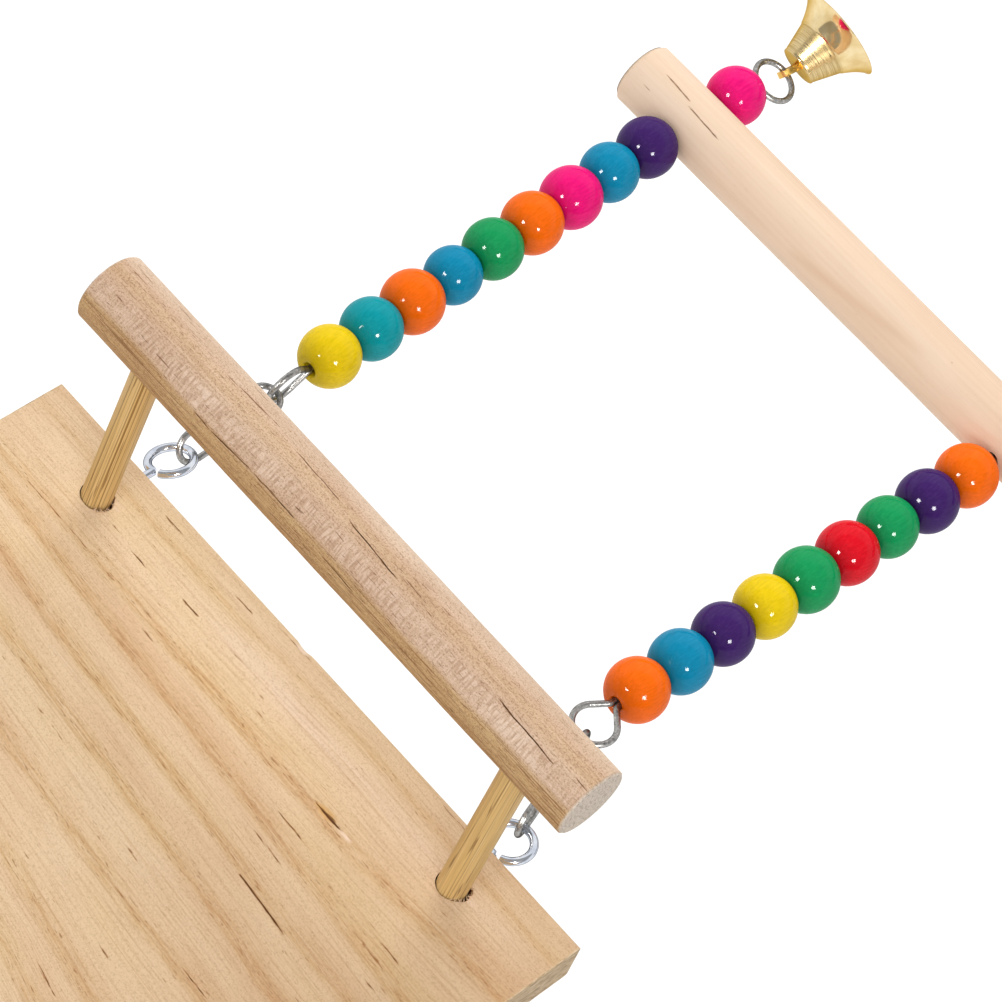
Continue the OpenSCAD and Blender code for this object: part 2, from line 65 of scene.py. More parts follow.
# Height of the floor, in metres: the swing hangs down to 0.24 below the platform
FLOOR_Z = -0.26

# Platform board, in millimetres: half width, half depth, thickness, arris
BOARD_X = 85.5
BOARD_Y = 62.5
BOARD_Z = 12.0
ARRIS = 0.5
# Growth rings lean through the thickness by this much for each millimetre of depth
RING_LEAN = 0.9
# How far apart the rings lie, for the grain's own place across the board
RING_SPACING = 11.0
# Columns of points along the board, and rows of them down each long edge and across the underside
BOARD_COLUMNS = 108
EDGE_ROWS = 14
UNDER_ROWS = 70
# Latewood lines on the top face as (strength, soft side, hard side, points), rear to front
RINGS = (
    (0.35, 2.6, 1.0, ((-86, -52), (86, -74))),
    (0.55, 2.8, 1.0, ((-86, -38), (86, -60))),
    (0.60, 2.6, 1.0, ((-86, -24), (14.5, -36.2), (27, -40), (86, -52))),
    (0.66, 2.8, 1.0, ((-86, -12), (-3, -23.1), (17, -26.9), (32, -30), (86, -38))),
    (0.62, 2.6, 1.0, ((-86, 2), (-23, -5.6), (2, -8.8), (27, -10.6), (39.5, -11.2), (86, -13))),
    (0.62, 2.4, 0.9, ((-86, 15), (-43, 10.9), (-10.5, 7.9), (14.5, 5.6), (39.5, 3.5), (52, 1.2), (86, 0))),
    (0.66, 2.2, 0.9, ((-86, 26), (-60.5, 23.1), (-33, 20), (-10.5, 18.5), (22, 16.2), (47, 13.8), (86, 11))),
    (0.78, 2.2, 0.9, ((-86, 35), (-72, 33.8), (-42, 31.2), (-15.5, 29.4), (24.5, 26.2), (39.5, 25),
                      (86, 21))),
    (0.66, 2.2, 1.2, ((-86, 39.6), (-54, 39.1), (-25.5, 38.1), (9.5, 37.4), (44.5, 37.2), (68, 39),
                      (86, 40))),
    (0.45, 0.9, 0.9, ((-86, 55.4), (-7, 55.7), (23, 57.1), (48, 56.1), (86, 54.8))),
    (0.40, 2.4, 1.2, ((-86, 66), (86, 65))),
    (0.45, 2.4, 1.2, ((-86, 73), (86, 72))),
    (0.45, 2.4, 1.2, ((-86, 80), (86, 79))),
)
# Dark flecks along the grain as (from x, to x, y, strength)
BOARD_FLECKS = (
    (-48, -39.3, 59, 0.7), (-23, -14.9, 58.4, 0.7), (-11.8, 2, 61.1, 0.5), (42, 54.5, 61, 0.5),
    (-51.8, -48, 47.8, 0.7), (-44.3, -36.8, 46.8, 0.7), (-29.3, -20.5, 48.1, 0.7),
    (-13.6, -8, 48.5, 0.6), (-1.1, 2, 46.3, 0.6), (2, 5.8, 43.1, 0.7), (13.3, 16.4, 42.9, 0.7),
    (23.3, 27, 42.5, 0.7), (27, 29.5, 48.4, 0.5), (50.8, 54.5, 40.6, 0.6), (62, 65.8, 43.8, 0.6),
    (82.6, 85.1, 44, 0.7), (-28, -21.8, 35.9, 0.7), (23.3, 33.3, 30.6, 0.7), (42.6, 45.8, 27.9, 0.6),
    (57.6, 67, 27.9, 0.6), (53.3, 65.8, 24.6, 0.6), (42.6, 44.5, 24.4, 0.5), (23.3, 35.8, 23.1, 0.6),
    (67, 70.8, 20.9, 0.6), (63.3, 68.9, 19.4, 0.6), (29.5, 47, 13.4, 1.0), (48.3, 51.4, 9.8, 0.7),
    (39.5, 49.5, -10.1, 0.7), (10.8, 18.3, -1.3, 0.6), (24.5, 30.8, -20.6, 0.7), (22, 30.8, -34.4, 0.7),
    (-25.5, -10.5, 4.4, 0.4), (-78, -35.5, 39.3, 0.45),
)
# Resin pit and the chip beside it, as (from x, to x, y), and where the pit is widest
RESIN_PIT = (27.6, 34.5, 38.9)
PIT_X = 31.0
PIT_CHIP = (35.3, 38.0, 38.6)
# Where the resin's amber ends
AMBER_END = 33.5
# Pale band near the front edge: its middle and half width in y, and its ends in x
PALE_Y = 50.3
PALE_HALF = 3.0
PALE_ENDS = (-50, 84)
# Nick in the front edge: its middle and half width
EDGE_CHIP_X = -3.0
EDGE_CHIP_HALF = 2.2

# Pegs, in millimetres and degrees
PEG_X = 58.5
PEG_FOOT_Y = 49.9
PEG_LEAN = 6.0
PEG_R = 3.6
PEG_SEAT = 9.0
PEG_TOP = 54.0
HOLE_R = 3.8
# Direction in which the peg holes are torn, in radians, mirrored on the left
TEAR = 0.25
# Splinters at each peg hole and along each sawn end
HOLE_SPLINTERS = 26
END_SPLINTERS = 46

# Cracks of the rail perch as (from x, to x, from angle, to angle, strength): angles run from the
# top of the bar towards the platform
RAIL_CRACKS = (
    (-19.3, -3.6, -4, 0, 0.8), (0.1, 17, 10, 17.5, 1.0), (17, 23.3, 8, 10, 0.8), (25, 27.6, 17, 17, 0.7),
    (-41.8, -24.3, -6, -12, 0.7), (48.6, 67, 27, 33, 1.0), (70.8, 75.5, 23, 25, 0.8),
    (-40.5, -34.3, 65, 67, 0.9), (-34.3, -21.8, 67, 62.5, 1.0), (-21.8, -7.4, 62.5, 64, 0.9),
    (0.8, 12.6, 73, 77, 0.8), (-51, -47.4, 61, 62.5, 0.7), (-54.9, -49.3, 47, 48, 0.8),
    (-39.9, -36.8, 46, 46, 0.7), (15.8, 23.3, 92, 92, 0.7), (29.5, 32.6, 82, 82, 0.6),
    (-10.5, -6.8, 51, 51, 0.7), (-0.5, 3.9, 34, 34, 0.7), (-73.6, -66, -12, -12, 0.6),
    (-72.4, -66, -23, -23, 0.6), (-60.5, -54.9, -32, -32, 0.6), (-52.4, -49.9, -32.5, -32.5, 0.6),
    (-36.8, -30.5, -32.5, -32.5, 0.6), (-15.5, -11, -29, -29, 0.6), (44.5, 47, 53, 53, 0.6),
    (58.9, 62, -26, -26, 0.6),
)
# Cracks of the swing perch, given the same way
SWING_CRACKS = (
    (-74.5, -64.5, 12, 17, 0.7), (-65, -52.6, 24, 29, 0.7), (-77, -73.3, 51, 51, 0.5),
    (25.4, 26.4, 17.5, 17.5, 0.8),
)
# Strips of the rail as (from angle, to angle, soft edge, strength): the ripples and gold are its wood, the
# pale strips are painted light on the side away from the platform
RAIL_RIPPLES = ((24, 62, 9, 1.0), (190, 225, 9, 0.7))
RAIL_GOLD = ((57, 150, 10, 1.0), (-12, 28, 14, 0.35))
RAIL_PAINTED_LIGHT = ((-120, -8, 26, 0.85), (240, 352, 26, 0.85))
# Stain on the swing perch as (from x, to x, from angle, to angle)
SWING_STAIN = (-22, 20.5, 77, 40)
# Half width of the cracks, and how deep they are
RAIL_CRACK = 0.25
SWING_CRACK = 0.38
CRACK_DEPTH = 0.16
# A bar's angles run from this one, in degrees
BAR_START = -50
# Beads and the wire holes of the swing bar, in millimetres
BEAD_LENGTH = 13.28
BEAD_HOLE_R = 1.75
WIRE_HOLE_R = 2.2
# Bells, in degrees: how far they toe out, and how far the axis rises towards the mouth
BELL_TOE = 3.5
BELL_RISE = 26.783
# Thickness of a bell, and how far down from its crown the brushed wall fades out, in millimetres; the wall is
# painted darker along its turning lines, a painted dark reflection
BELL_WALL = 0.7
BRUSHED_END = (7.2, 8.2)
# Studs of the cage clamps, in millimetres: place, radius, length in the board and out of it, thread,
# and how much thinner the ends are
STUD_X = 45.0
STUD_R = 2.5
STUD_IN = 18.0
STUD_OUT = 30.0
THREAD_PITCH = 0.8
THREAD_DEPTH = 0.42
THREAD_FROM = -2.0
STUD_EASE = 0.45
# Fineness at which the edges of a wing nut melt together
NUT_GRID = 0.22
# How far from the board the washers sit
WASHER_AT = {"inner": 0.0, "outer": 6.2}
# What the lamps and cards face, in metres
AIM = Vector((0.0, 0.10, 0.02))
WHITE = (1.0, 1.0, 1.0, 1.0)
# Length of the tables of smooth noise
NOISE_CELLS = 512
# Seeds of what is drawn at random
RAIL_SEED = 11
SWING_SEED = 23
BEAD_SEED = 5
FRAY_SEED = 37

BEAD_TONES = {
    "yellow": (232, 199, 16), "teal": (8, 150, 160), "orange": (246, 106, 8), "blue": (12, 134, 172),
    "green": (22, 150, 86), "pink": (234, 18, 118), "purple": (62, 32, 98), "red": (220, 16, 34),
}
BEAD_ORDER = {
    "left": ("yellow", "teal", "orange", "blue", "green", "orange", "pink", "blue", "purple"),
    "right": ("orange", "blue", "purple", "yellow", "green", "red", "green", "purple", "orange"),
}
LOWER_BEAD_TONE = {"left": "pink", "right": "blue"}


# Finishes

def tone(red, green, blue):
    """An sRGB colour of 0 to 255 as Blender's linear colour."""
    linear = []
    for channel in (red, green, blue):
        c = channel / 255
        linear.append(c / 12.92 if c <= 0.04045 else ((c + 0.055) / 1.055) ** 2.4)
    return (*linear, 1.0)


class Nodes:
    """A node tree, filled node by node."""

    def __init__(self, tree):
        self.tree = tree

    def node(self, kind, settings=None, **inputs):
        made = self.tree.nodes.new(kind)
        for key, value in (settings or {}).items():
            setattr(made, key, value)
        for key, value in inputs.items():
            self.feed(made.inputs[key.replace("_", " ")], value)
        return made

    def feed(self, socket, value):
        if isinstance(value, bpy.types.NodeSocket):
            self.tree.links.new(value, socket)
        else:
            socket.default_value = value

    def math(self, operation, *values):
        made = self.node("ShaderNodeMath", {"operation": operation})
        for socket, value in zip(made.inputs, values):
            self.feed(socket, value)
        return made.outputs[0]

    def sum(self, first, second):
        return self.math("ADD", first, second)

    def times(self, first, second):
        return self.math("MULTIPLY", first, second)


class Finish(Nodes):
    """A node material with one Principled surface."""

    def __init__(self, name):
        self.material = bpy.data.materials.new(name)
        self.material.use_nodes = True
        super().__init__(self.material.node_tree)
        self.surface = self.tree.nodes["Principled BSDF"]
        self.colour = None

    def set(self, **inputs):
        for key, value in inputs.items():
            self.feed(self.surface.inputs[key.replace("_", " ")], value)

    def place(self):
        return self.node("ShaderNodeTexCoord").outputs["Object"]

    def attribute(self, name, vector=False):
        made = self.node("ShaderNodeAttribute", {"attribute_name": name})
        return made.outputs["Vector" if vector else "Fac"]

    def noise(self, where, stretch, detail=3.0, roughness=0.55, distortion=0.0):
        mapped = self.node("ShaderNodeMapping", Vector=where, Scale=stretch)
        made = self.node("ShaderNodeTexNoise", Vector=mapped.outputs[0], Scale=1.0, Detail=detail,
                         Roughness=roughness, Distortion=distortion)
        return made.outputs[0]

    def ramp(self, factor, *stops):
        made = self.node("ShaderNodeValToRGB", Fac=factor)
        colours = made.color_ramp.elements
        while len(colours) < len(stops):
            colours.new(0.5)
        for element, (position, colour) in zip(colours, stops):
            element.position = position
            element.color = colour if len(colour) == 4 else tone(*colour)
        return made.outputs[0]

    def fade(self, factor, low, high, bottom=0.0, top=1.0):
        """A number that runs from bottom to top while factor runs from low to high."""
        made = self.node("ShaderNodeMapRange", {"interpolation_type": "SMOOTHSTEP"}, Value=factor,
                         From_Min=low, From_Max=high, To_Min=bottom, To_Max=top)
        return made.outputs[0]

    def blend(self, amount, second, kind="MIX"):
        """Mixes a second colour into the finish's own."""
        made = self.node("ShaderNodeMix", {"data_type": "RGBA", "blend_type": kind})
        for number, value in ((0, amount), (6, self.colour), (7, second)):
            self.feed(made.inputs[number], value)
        self.colour = made.outputs[2]

    def shade(self, amount, factor, *stops):
        """Darkens the colour by a ramp."""
        self.blend(amount, self.ramp(factor, *stops), "MULTIPLY")

    def tint(self, amount, mark):
        self.blend(amount, tone(*mark))

    def marks(self, factor, low, high, amount, mark):
        """Marks of a tone where factor runs from low to high."""
        self.tint(self.fade(factor, low, high, 0.0, amount), mark)

    def done(self, roughness, height, depth, strength, **others):
        """The material with its roughness and the relief of its surface."""
        relief = self.node("ShaderNodeBump", Strength=strength, Distance=depth, Height=height)
        self.set(Base_Color=self.colour, Roughness=roughness, Normal=relief.outputs[0], **others)
        return self.material


def pine_finish():
    """Planed pine: rings, grain direction and flecks come from the board's own attributes."""
    f = Finish("pine")
    where = f.place()
    grain = f.attribute("grain", vector=True)
    late = f.attribute("late")
    end = f.attribute("end")
    streak = f.noise(grain, (60, 2300, 1), 4.0, 0.62)
    feather = f.noise(grain, (130, 1500, 1), 3.0, 0.6)
    dash = f.noise(grain, (330, 3600, 1), 2.0, 0.6)
    grit = f.noise(where, (2600, 3300, 3300), 2.0, 0.65)
    hair = f.noise(grain, (22, 4600, 1), 2.0, 0.5)
    cloud = f.noise(grain, (14, 70, 1), 2.0)
    ring = f.times(late, f.fade(feather, 0.34, 0.66, 0.5, 1.35))
    f.colour = f.ramp(ring, (0.0, (231, 204, 170)), (0.4, (226, 196, 158)), (0.75, (219, 184, 142)),
                      (1.0, (212, 174, 129)))
    f.tint(f.attribute("pale"), (235, 210, 185))
    f.shade(0.9, streak, (0.30, (236, 228, 219)), (0.52, (254, 253, 251)), (0.75, (255, 255, 252)))
    f.shade(0.9, cloud, (0.36, (247, 240, 236)), (0.5, (255, 255, 255)), (0.64, (253, 252, 244)))
    f.shade(0.7, grit, (0.30, (219, 208, 196)), (0.50, (255, 255, 255)))
    # Painted shade: the board darkens towards its right end.
    f.blend(f.attribute("tint"), tone(233, 226, 220), "MULTIPLY")
    dashes = f.sum(dash, f.times(late, 0.15))
    f.marks(f.sum(hair, f.times(late, 0.10)), 0.59, 0.70, 0.4, (190, 146, 100))
    f.marks(dashes, 0.69, 0.75, 0.75, (152, 104, 60))
    # Flecks and the resin pit are the wood's own dark marks; on the peg hole walls the same marks are painted
    # shade.
    mark = f.sum(f.attribute("flecks_and_hole_shade"), f.fade(dash, 0.3, 0.7, -0.22, 0.22))
    f.marks(mark, 0.32, 0.48, 0.8, (156, 104, 58))
    f.marks(mark, 0.52, 0.66, 0.92, (88, 50, 22))
    f.tint(f.attribute("amber"), (214, 160, 74))
    f.tint(f.attribute("chip"), (240, 214, 192))
    saw = f.noise(where, (3000, 420, 2400), 4.0, 0.7)
    sawn = f.ramp(saw, (0.36, (132, 106, 76)), (0.46, (190, 163, 127)), (0.56, (218, 195, 161)),
                  (0.72, (234, 218, 190)))
    f.blend(end, sawn)
    rough = f.sum(f.sum(streak, dash), f.times(saw, end))
    return f.done(f.fade(streak, 0.3, 0.75, 0.58, 0.76), rough, 0.0001, 0.4, Specular_IOR_Level=0.15)


def rail_finish():
    """Coarse bare wood: sandy grit, a strip of fine cross ripples, dark pores and drying cracks; the dark of
    the cracks is painted shade, and pale strips on the side away from the platform are painted light.
    """
    f = Finish("rail_wood")
    where = f.place()
    streak = f.noise(where, (60, 2200, 2200), 4.0, 0.62)
    fibre = f.noise(where, (300, 4200, 4200), 2.0, 0.6)
    grit = f.noise(where, (2400, 3300, 3300), 3.0, 0.7)
    wave = f.noise(where, (1800, 300, 300), 1.0, 0.5, 0.15)
    hair = f.noise(where, (38, 4600, 4600), 2.0, 0.5)
    patch = f.noise(where, (180, 420, 420), 2.0)
    cloud = f.noise(where, (30, 130, 130), 2.0)
    low_side = f.attribute("gold")
    end = f.attribute("end")
    ripple = f.times(f.attribute("ripple"), f.fade(patch, 0.36, 0.6, 0.35, 1.0))
    f.colour = f.ramp(streak, (0.28, (210, 178, 151)), (0.5, (224, 195, 169)), (0.72, (232, 206, 182)))
    golden = f.ramp(streak, (0.28, (197, 160, 114)), (0.5, (210, 176, 130)), (0.72, (220, 189, 146)))
    f.blend(low_side, golden)
    # Painted light: the pale strips brighten the side away from the platform.
    f.tint(f.attribute("pale"), (241, 219, 196))
    curl = f.ramp(wave, (0.38, (184, 148, 121)), (0.48, (218, 187, 161)), (0.58, (240, 217, 197)))
    f.blend(f.times(ripple, 0.8), curl)
    f.shade(0.7, cloud, (0.35, (238, 229, 222)), (0.62, (255, 255, 255)))
    coarse = f.fade(ripple, 0.2, 0.9, 1.0, 0.35)
    f.shade(f.times(coarse, 0.95), grit, (0.32, (188, 165, 145)), (0.46, (241, 235, 229)),
            (0.60, (255, 255, 255)))
    specks = f.times(f.fade(grit, 0.62, 0.70, 0.0, 0.35), coarse)
    f.tint(specks, (160, 112, 80))
    pores = f.sum(fibre, f.times(low_side, 0.04))
    f.marks(pores, 0.64, 0.71, 0.8, (120, 80, 50))
    lines = f.times(f.fade(hair, 0.57, 0.63, 0.0, 0.8), f.fade(low_side, 0.3, 1.0, 0.12, 1.0))
    f.tint(lines, (134, 90, 54))
    # The dark in the cracks is painted shade in their narrow recesses.
    torn = f.sum(f.attribute("crack"), f.fade(fibre, 0.3, 0.7, -0.16, 0.16))
    f.marks(torn, 0.34, 0.46, 0.85, (128, 84, 50))
    f.marks(torn, 0.58, 0.70, 0.92, (70, 38, 18))
    chew = f.noise(where, (900, 1500, 1500), 4.0, 0.7)
    cut = f.ramp(chew, (0.36, (141, 121, 102)), (0.45, (216, 200, 183)), (0.68, (237, 225, 211)))
    f.blend(end, cut)
    rough = f.sum(f.sum(streak, grit), f.times(wave, ripple))
    return f.done(f.fade(grit, 0.3, 0.7, 0.62, 0.8), f.sum(rough, f.times(chew, end)), 0.00016, 0.5,
                  Specular_IOR_Level=0.15)


def dowel_finish():
    """Pale, finely sanded dowel."""
    f = Finish("dowel_wood")
    where = f.place()
    streak = f.noise(where, (24, 1300, 1300), 4.0, 0.6)
    fibre = f.noise(where, (420, 8500, 8500), 2.0, 0.6)
    cloud = f.noise(where, (14, 90, 90), 2.0)
    end = f.attribute("end")
    f.colour = f.ramp(streak, (0.26, (236, 208, 180)), (0.5, (240, 213, 187)), (0.74, (242, 217, 192)))
    f.shade(0.7, cloud, (0.34, (246, 238, 231)), (0.64, (255, 255, 255)))
    f.marks(fibre, 0.66, 0.76, 0.4, (184, 136, 98))
    # The dark in the cracks is painted shade in their narrow recesses.
    torn = f.sum(f.attribute("crack"), f.fade(fibre, 0.3, 0.7, -0.14, 0.14))
    f.marks(torn, 0.26, 0.42, 0.7, (166, 116, 78))
    f.marks(torn, 0.48, 0.64, 0.85, (86, 52, 30))
    f.tint(f.attribute("stain"), (214, 170, 132))
    chew = f.noise(where, (900, 1800, 1800), 4.0, 0.7)
    cut = f.ramp(chew, (0.32, (186, 152, 118)), (0.5, (217, 187, 154)), (0.7, (229, 205, 176)))
    f.blend(end, cut)
    rough = f.sum(f.sum(streak, fibre), f.times(chew, end))
    return f.done(f.fade(streak, 0.3, 0.7, 0.5, 0.62), rough, 0.0001, 0.4, Specular_IOR_Level=0.2)


def bamboo_finish():
    """Split cane: long fibres, some dark, that follow the peg."""
    f = Finish("bamboo")
    where = f.attribute("grain", vector=True)
    bundle = f.noise(where, (2300, 2300, 26), 3.0, 0.6)
    fibre = f.noise(where, (6500, 6500, 60), 2.0)
    vein = f.noise(where, (520, 520, 7), 2.0)
    rib = f.noise(where, (2700, 2700, 8), 2.0, 0.5)
    f.colour = f.ramp(bundle, (0.28, (217, 178, 112)), (0.5, (226, 191, 128)), (0.72, (234, 203, 146)))
    f.shade(0.6, fibre, (0.3, (224, 213, 196)), (0.56, (255, 255, 255)))
    edge = f.math("ABSOLUTE", f.sum(vein, -0.5))
    f.marks(edge, 0.012, 0.004, 0.7, (138, 98, 54))
    ribs = f.times(f.fade(rib, 0.53, 0.62, 0.0, 0.85), f.attribute("ribbed"))
    f.tint(ribs, (148, 106, 50))
    return f.done(f.fade(bundle, 0.3, 0.7, 0.42, 0.6), f.sum(bundle, fibre), 0.00014, 0.5,
                  Specular_IOR_Level=0.25)


def lacquer_finish(name, colour):
    """Stained and lacquered turned wood: the grain shows faintly, and a painted shade darkens both hole ends,
    where the beads meet.
    """
    f = Finish("bead_" + name)
    where = f.attribute("grain", vector=True)
    grain = f.noise(where, (1900, 1900, 240), 4.0, 0.6)
    speck = f.noise(where, (3600, 3600, 1500), 3.0, 0.65)
    base = np.array(tone(*colour)[:3]) * 1.07

    def stained(share, dust=0.0):
        return (*(base * share + dust), 1.0)

    f.colour = f.ramp(grain, (0.30, stained(0.88)), (0.5, stained(1.0)), (0.72, stained(1.06, 0.008)))
    f.blend(f.fade(speck, 0.60, 0.72, 0.0, 0.4), stained(1.0, 0.03))
    f.blend(f.fade(speck, 0.40, 0.30, 0.0, 0.25), stained(0.62))
    # Painted shade at both hole ends, where the beads meet.
    f.blend(f.attribute("painted_contact_shade"), stained(0.45))
    return f.done(f.fade(speck, 0.3, 0.7, 0.36, 0.5), f.sum(grain, speck), 0.00007, 0.4,
                  Specular_IOR_Level=0.0, Coat_Weight=0.3, Coat_Roughness=0.07)


def zinc_finish():
    """Bright zinc plate with faint clouds."""
    f = Finish("zinc")
    where = f.place()
    cloud = f.noise(where, (420, 420, 420), 3.0)
    scratch = f.noise(where, (5200, 900, 5200), 2.0)
    f.colour = f.ramp(cloud, (0.3, (198, 205, 218)), (0.55, (222, 227, 236)), (0.75, (233, 235, 239)))
    return f.done(f.fade(scratch, 0.3, 0.75, 0.08, 0.18), scratch, 0.00002, 0.3,
                  Metallic=1.0, Specular_Tint=tone(12, 14, 40))


def steel_finish():
    """Dull drawn wire."""
    f = Finish("steel")
    where = f.place()
    cloud = f.noise(where, (1400, 1400, 1400), 3.0, 0.65)
    drawn = f.noise(where, (6000, 900, 6000), 2.0)
    f.colour = f.ramp(cloud, (0.32, (130, 129, 127)), (0.5, (168, 166, 163)), (0.68, (200, 198, 194)))
    f.marks(drawn, 0.56, 0.75, 0.35, (104, 102, 100))
    return f.done(f.fade(drawn, 0.3, 0.75, 0.26, 0.42), drawn, 0.00003, 0.3,
                  Metallic=1.0, Specular_Tint=tone(60, 58, 56))


def brass_finish():
    """Polished spun brass with turning lines round the bell; along them the wall is painted darker, a painted
    dark reflection.
    """
    f = Finish("brass")
    where = f.attribute("grain", vector=True)
    turning = f.noise(where, (90, 90, 7000), 3.0, 0.6)
    cloud = f.noise(where, (260, 260, 260), 3.0)
    height = f.node("ShaderNodeSeparateXYZ", Vector=where).outputs[2]
    wall = f.fade(height, BRUSHED_END[0] * MM, BRUSHED_END[1] * MM, 1.0, 0.0)
    brushing_and_painted_reflection = f.times(wall, f.fade(turning, 0.36, 0.64, 0.08, 0.30))
    f.colour = f.ramp(cloud, (0.3, (222, 194, 138)), (0.55, (235, 211, 160)), (0.75, (241, 222, 178)))
    # Painted reflection: the wall is darkened along its turning lines, standing in for the dark it mirrors.
    f.tint(f.times(brushing_and_painted_reflection, 2.6), (178, 152, 100))
    return f.done(f.sum(f.fade(turning, 0.3, 0.7, 0.07, 0.14), brushing_and_painted_reflection), turning, 0.000008, 0.25,
                  Metallic=1.0, Specular_Tint=tone(206, 180, 128))


def strap_finish():
    """Bent brass strip, its tone clouded."""
    f = Finish("strap_brass")
    where = f.place()
    cloud = f.noise(where, (700, 700, 700), 3.0)
    f.colour = f.ramp(cloud, (0.3, (206, 162, 78)), (0.55, (232, 192, 104)), (0.75, (242, 212, 134)))
    return f.done(f.fade(cloud, 0.3, 0.7, 0.26, 0.42), cloud, 0.00003, 0.3, Metallic=1.0)


pine = pine_finish()
rail_wood = rail_finish()
dowel_wood = dowel_finish()
bamboo = bamboo_finish()
zinc = zinc_finish()
steel = steel_finish()
brass = brass_finish()
strap_brass = strap_finish()
lacquer = {name: lacquer_finish(name, colour) for name, colour in BEAD_TONES.items()}


# Meshes

def mesh_of(name, points, faces, material):
    """A mesh of points in millimetres."""
    mesh = bpy.data.meshes.new(name)
    mesh.from_pydata((np.asarray(points) * MM).tolist(), [], faces)
    mesh.materials.append(material)
    return mesh


def tube_faces(rings, around):
    """Faces between rings of points."""
    faces = []
    for i in range(rings - 1):
        for j in range(around):
            k = (j + 1) % around
            faces.append((i * around + j, i * around + k, (i + 1) * around + k, (i + 1) * around + j))
    return faces


def closed_tube(rings, around):
    """The same, with a face on each end."""
    first = tuple(range(around - 1, -1, -1))
    last = tuple(range((rings - 1) * around, rings * around))
    return tube_faces(rings, around) + [first, last]


def ring_of(radius, angles, height):
    """Points of one ring round the Z axis."""
    return list(np.stack([radius * np.cos(angles), radius * np.sin(angles), np.full(len(angles), height)], 1))


def circle(around):
    return np.linspace(0, 2 * math.pi, around, endpoint=False)


def smooth(mesh, degrees):
    """Smooth faces with sharp edges where they meet at more than this angle."""
    mesh.polygons.foreach_set("use_smooth", [True] * len(mesh.polygons))
    mesh.set_sharp_from_angle(angle=math.radians(degrees))
    mesh.update()


def outward(mesh):
    """Doubles merged, faces turned outwards."""
    shell = bmesh.new()
    shell.from_mesh(mesh)
    bmesh.ops.remove_doubles(shell, verts=shell.verts, dist=1e-7)
    bmesh.ops.recalc_face_normals(shell, faces=shell.faces)
    shell.to_mesh(mesh)
    shell.free()


def points_of(mesh):
    flat = np.empty(3 * len(mesh.vertices))
    mesh.vertices.foreach_get("co", flat)
    return flat.reshape(-1, 3) / MM


def write_attribute(mesh, name, values):
    kind = "FLOAT_VECTOR" if np.ndim(values) == 2 else "FLOAT"
    made = mesh.attributes.new(name, kind, "POINT")
    key = "vector" if kind == "FLOAT_VECTOR" else "value"
    made.data.foreach_set(key, np.ravel(values).astype(np.float32))


def show(name, mesh):
    piece = bpy.data.objects.new(name, mesh)
    bpy.context.scene.collection.objects.link(piece)
    return piece


def settle(piece):
    """The piece's modifiers become its plain mesh."""
    graph = bpy.context.evaluated_depsgraph_get()
    mesh = bpy.data.meshes.new_from_object(piece.evaluated_get(graph))
    old = piece.data
    piece.modifiers.clear()
    piece.data = mesh
    mesh.name = piece.name
    bpy.data.meshes.remove(old)


def carve(piece, cutter):
    """Cuts a closed mesh out of a piece."""
    tool = show("cutter", cutter)
    cut = piece.modifiers.new("cut", "BOOLEAN")
    cut.operation = "DIFFERENCE"
    cut.solver = "MANIFOLD"
    cut.object = tool
    settle(piece)
    bpy.data.objects.remove(tool)
    bpy.data.meshes.remove(cutter)


def dress(piece, body, slot, *stands_for):
    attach(piece, body)
    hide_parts(*stands_for)


def box_of(node):
    """Corners of a node's CAD box, in millimetres."""
    return (Vector(corner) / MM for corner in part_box(node))


def middle(node):
    low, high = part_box(node)
    return (Vector(low) + Vector(high)) / 2 / MM


def set_along(way, at):
    """Placement at a point in metres, with the Z axis along a direction."""
    place = way.to_track_quat("Z", "Y").to_matrix().to_4x4()
    place.translation = at
    return place


def body_of_node(node):
    for body, members in frame["record"]["behaviour"]["bodies"].items():
        if node in members:
            return body
    raise KeyError(node)


def hash_noise(values, seed, scale):
    """Smooth repeatable noise of -1 to 1 along a line of numbers."""
    rng = np.random.default_rng(seed)
    table = rng.uniform(-1, 1, NOISE_CELLS)
    at = np.asarray(values) / scale
    cell = np.floor(at).astype(int)
    part = at - cell
    part = part * part * (3 - 2 * part)
    return table[cell % NOISE_CELLS] * (1 - part) + table[(cell + 1) % NOISE_CELLS] * part


def taper(x, start, end, soft):
    """1 between start and end, with soft ends."""
    rise = np.clip((x - start) / soft, 0, 1)
    fall = np.clip((end - x) / soft, 0, 1)
    return np.sqrt(np.minimum(rise, fall))


# Platform board

def ring_lines(x):
    """The y of every latewood line at each x, one row for each line."""
    return np.array([np.interp(x, *zip(*line)) for _, _, _, line in RINGS])


def ring_at(x, y):
    """Ring numbers: whole numbers on the latewood lines."""
    lines = ring_lines(x)
    numbers = np.arange(len(RINGS))
    return np.array([np.interp(v, lines[:, i], numbers) for i, v in enumerate(y)])


def along_ring(x, number):
    """The y of one ring number at each x."""
    lines = ring_lines(x)
    whole = int(min(number, len(RINGS) - 2))
    part = number - whole
    return lines[whole] * (1 - part) + lines[whole + 1] * part


def fleck_lines():
    """Flecks with their ring number, so that they run with the grain."""
    marks = []
    for start, end, y, strength in BOARD_FLECKS:
        number = ring_at(np.array([(start + end) / 2]), np.array([y]))[0]
        marks.append((start, end, number, strength))
    return marks


def board_rows(marks):
    """Heights across the board, each a line that follows the grain, rear to front."""
    numbers = set()
    for k in range(1, 11):
        for part in np.linspace(0, 1, 22, endpoint=False):
            numbers.add(round(k + part, 4))
    pit = ring_at(np.array([PIT_X]), np.array([RESIN_PIT[2]]))[0]
    for number in [m[2] for m in marks] + [pit]:
        for off in (-0.05, -0.025, -0.012, 0.0, 0.012, 0.025, 0.05):
            numbers.add(round(number + off, 4))
    return sorted(numbers)


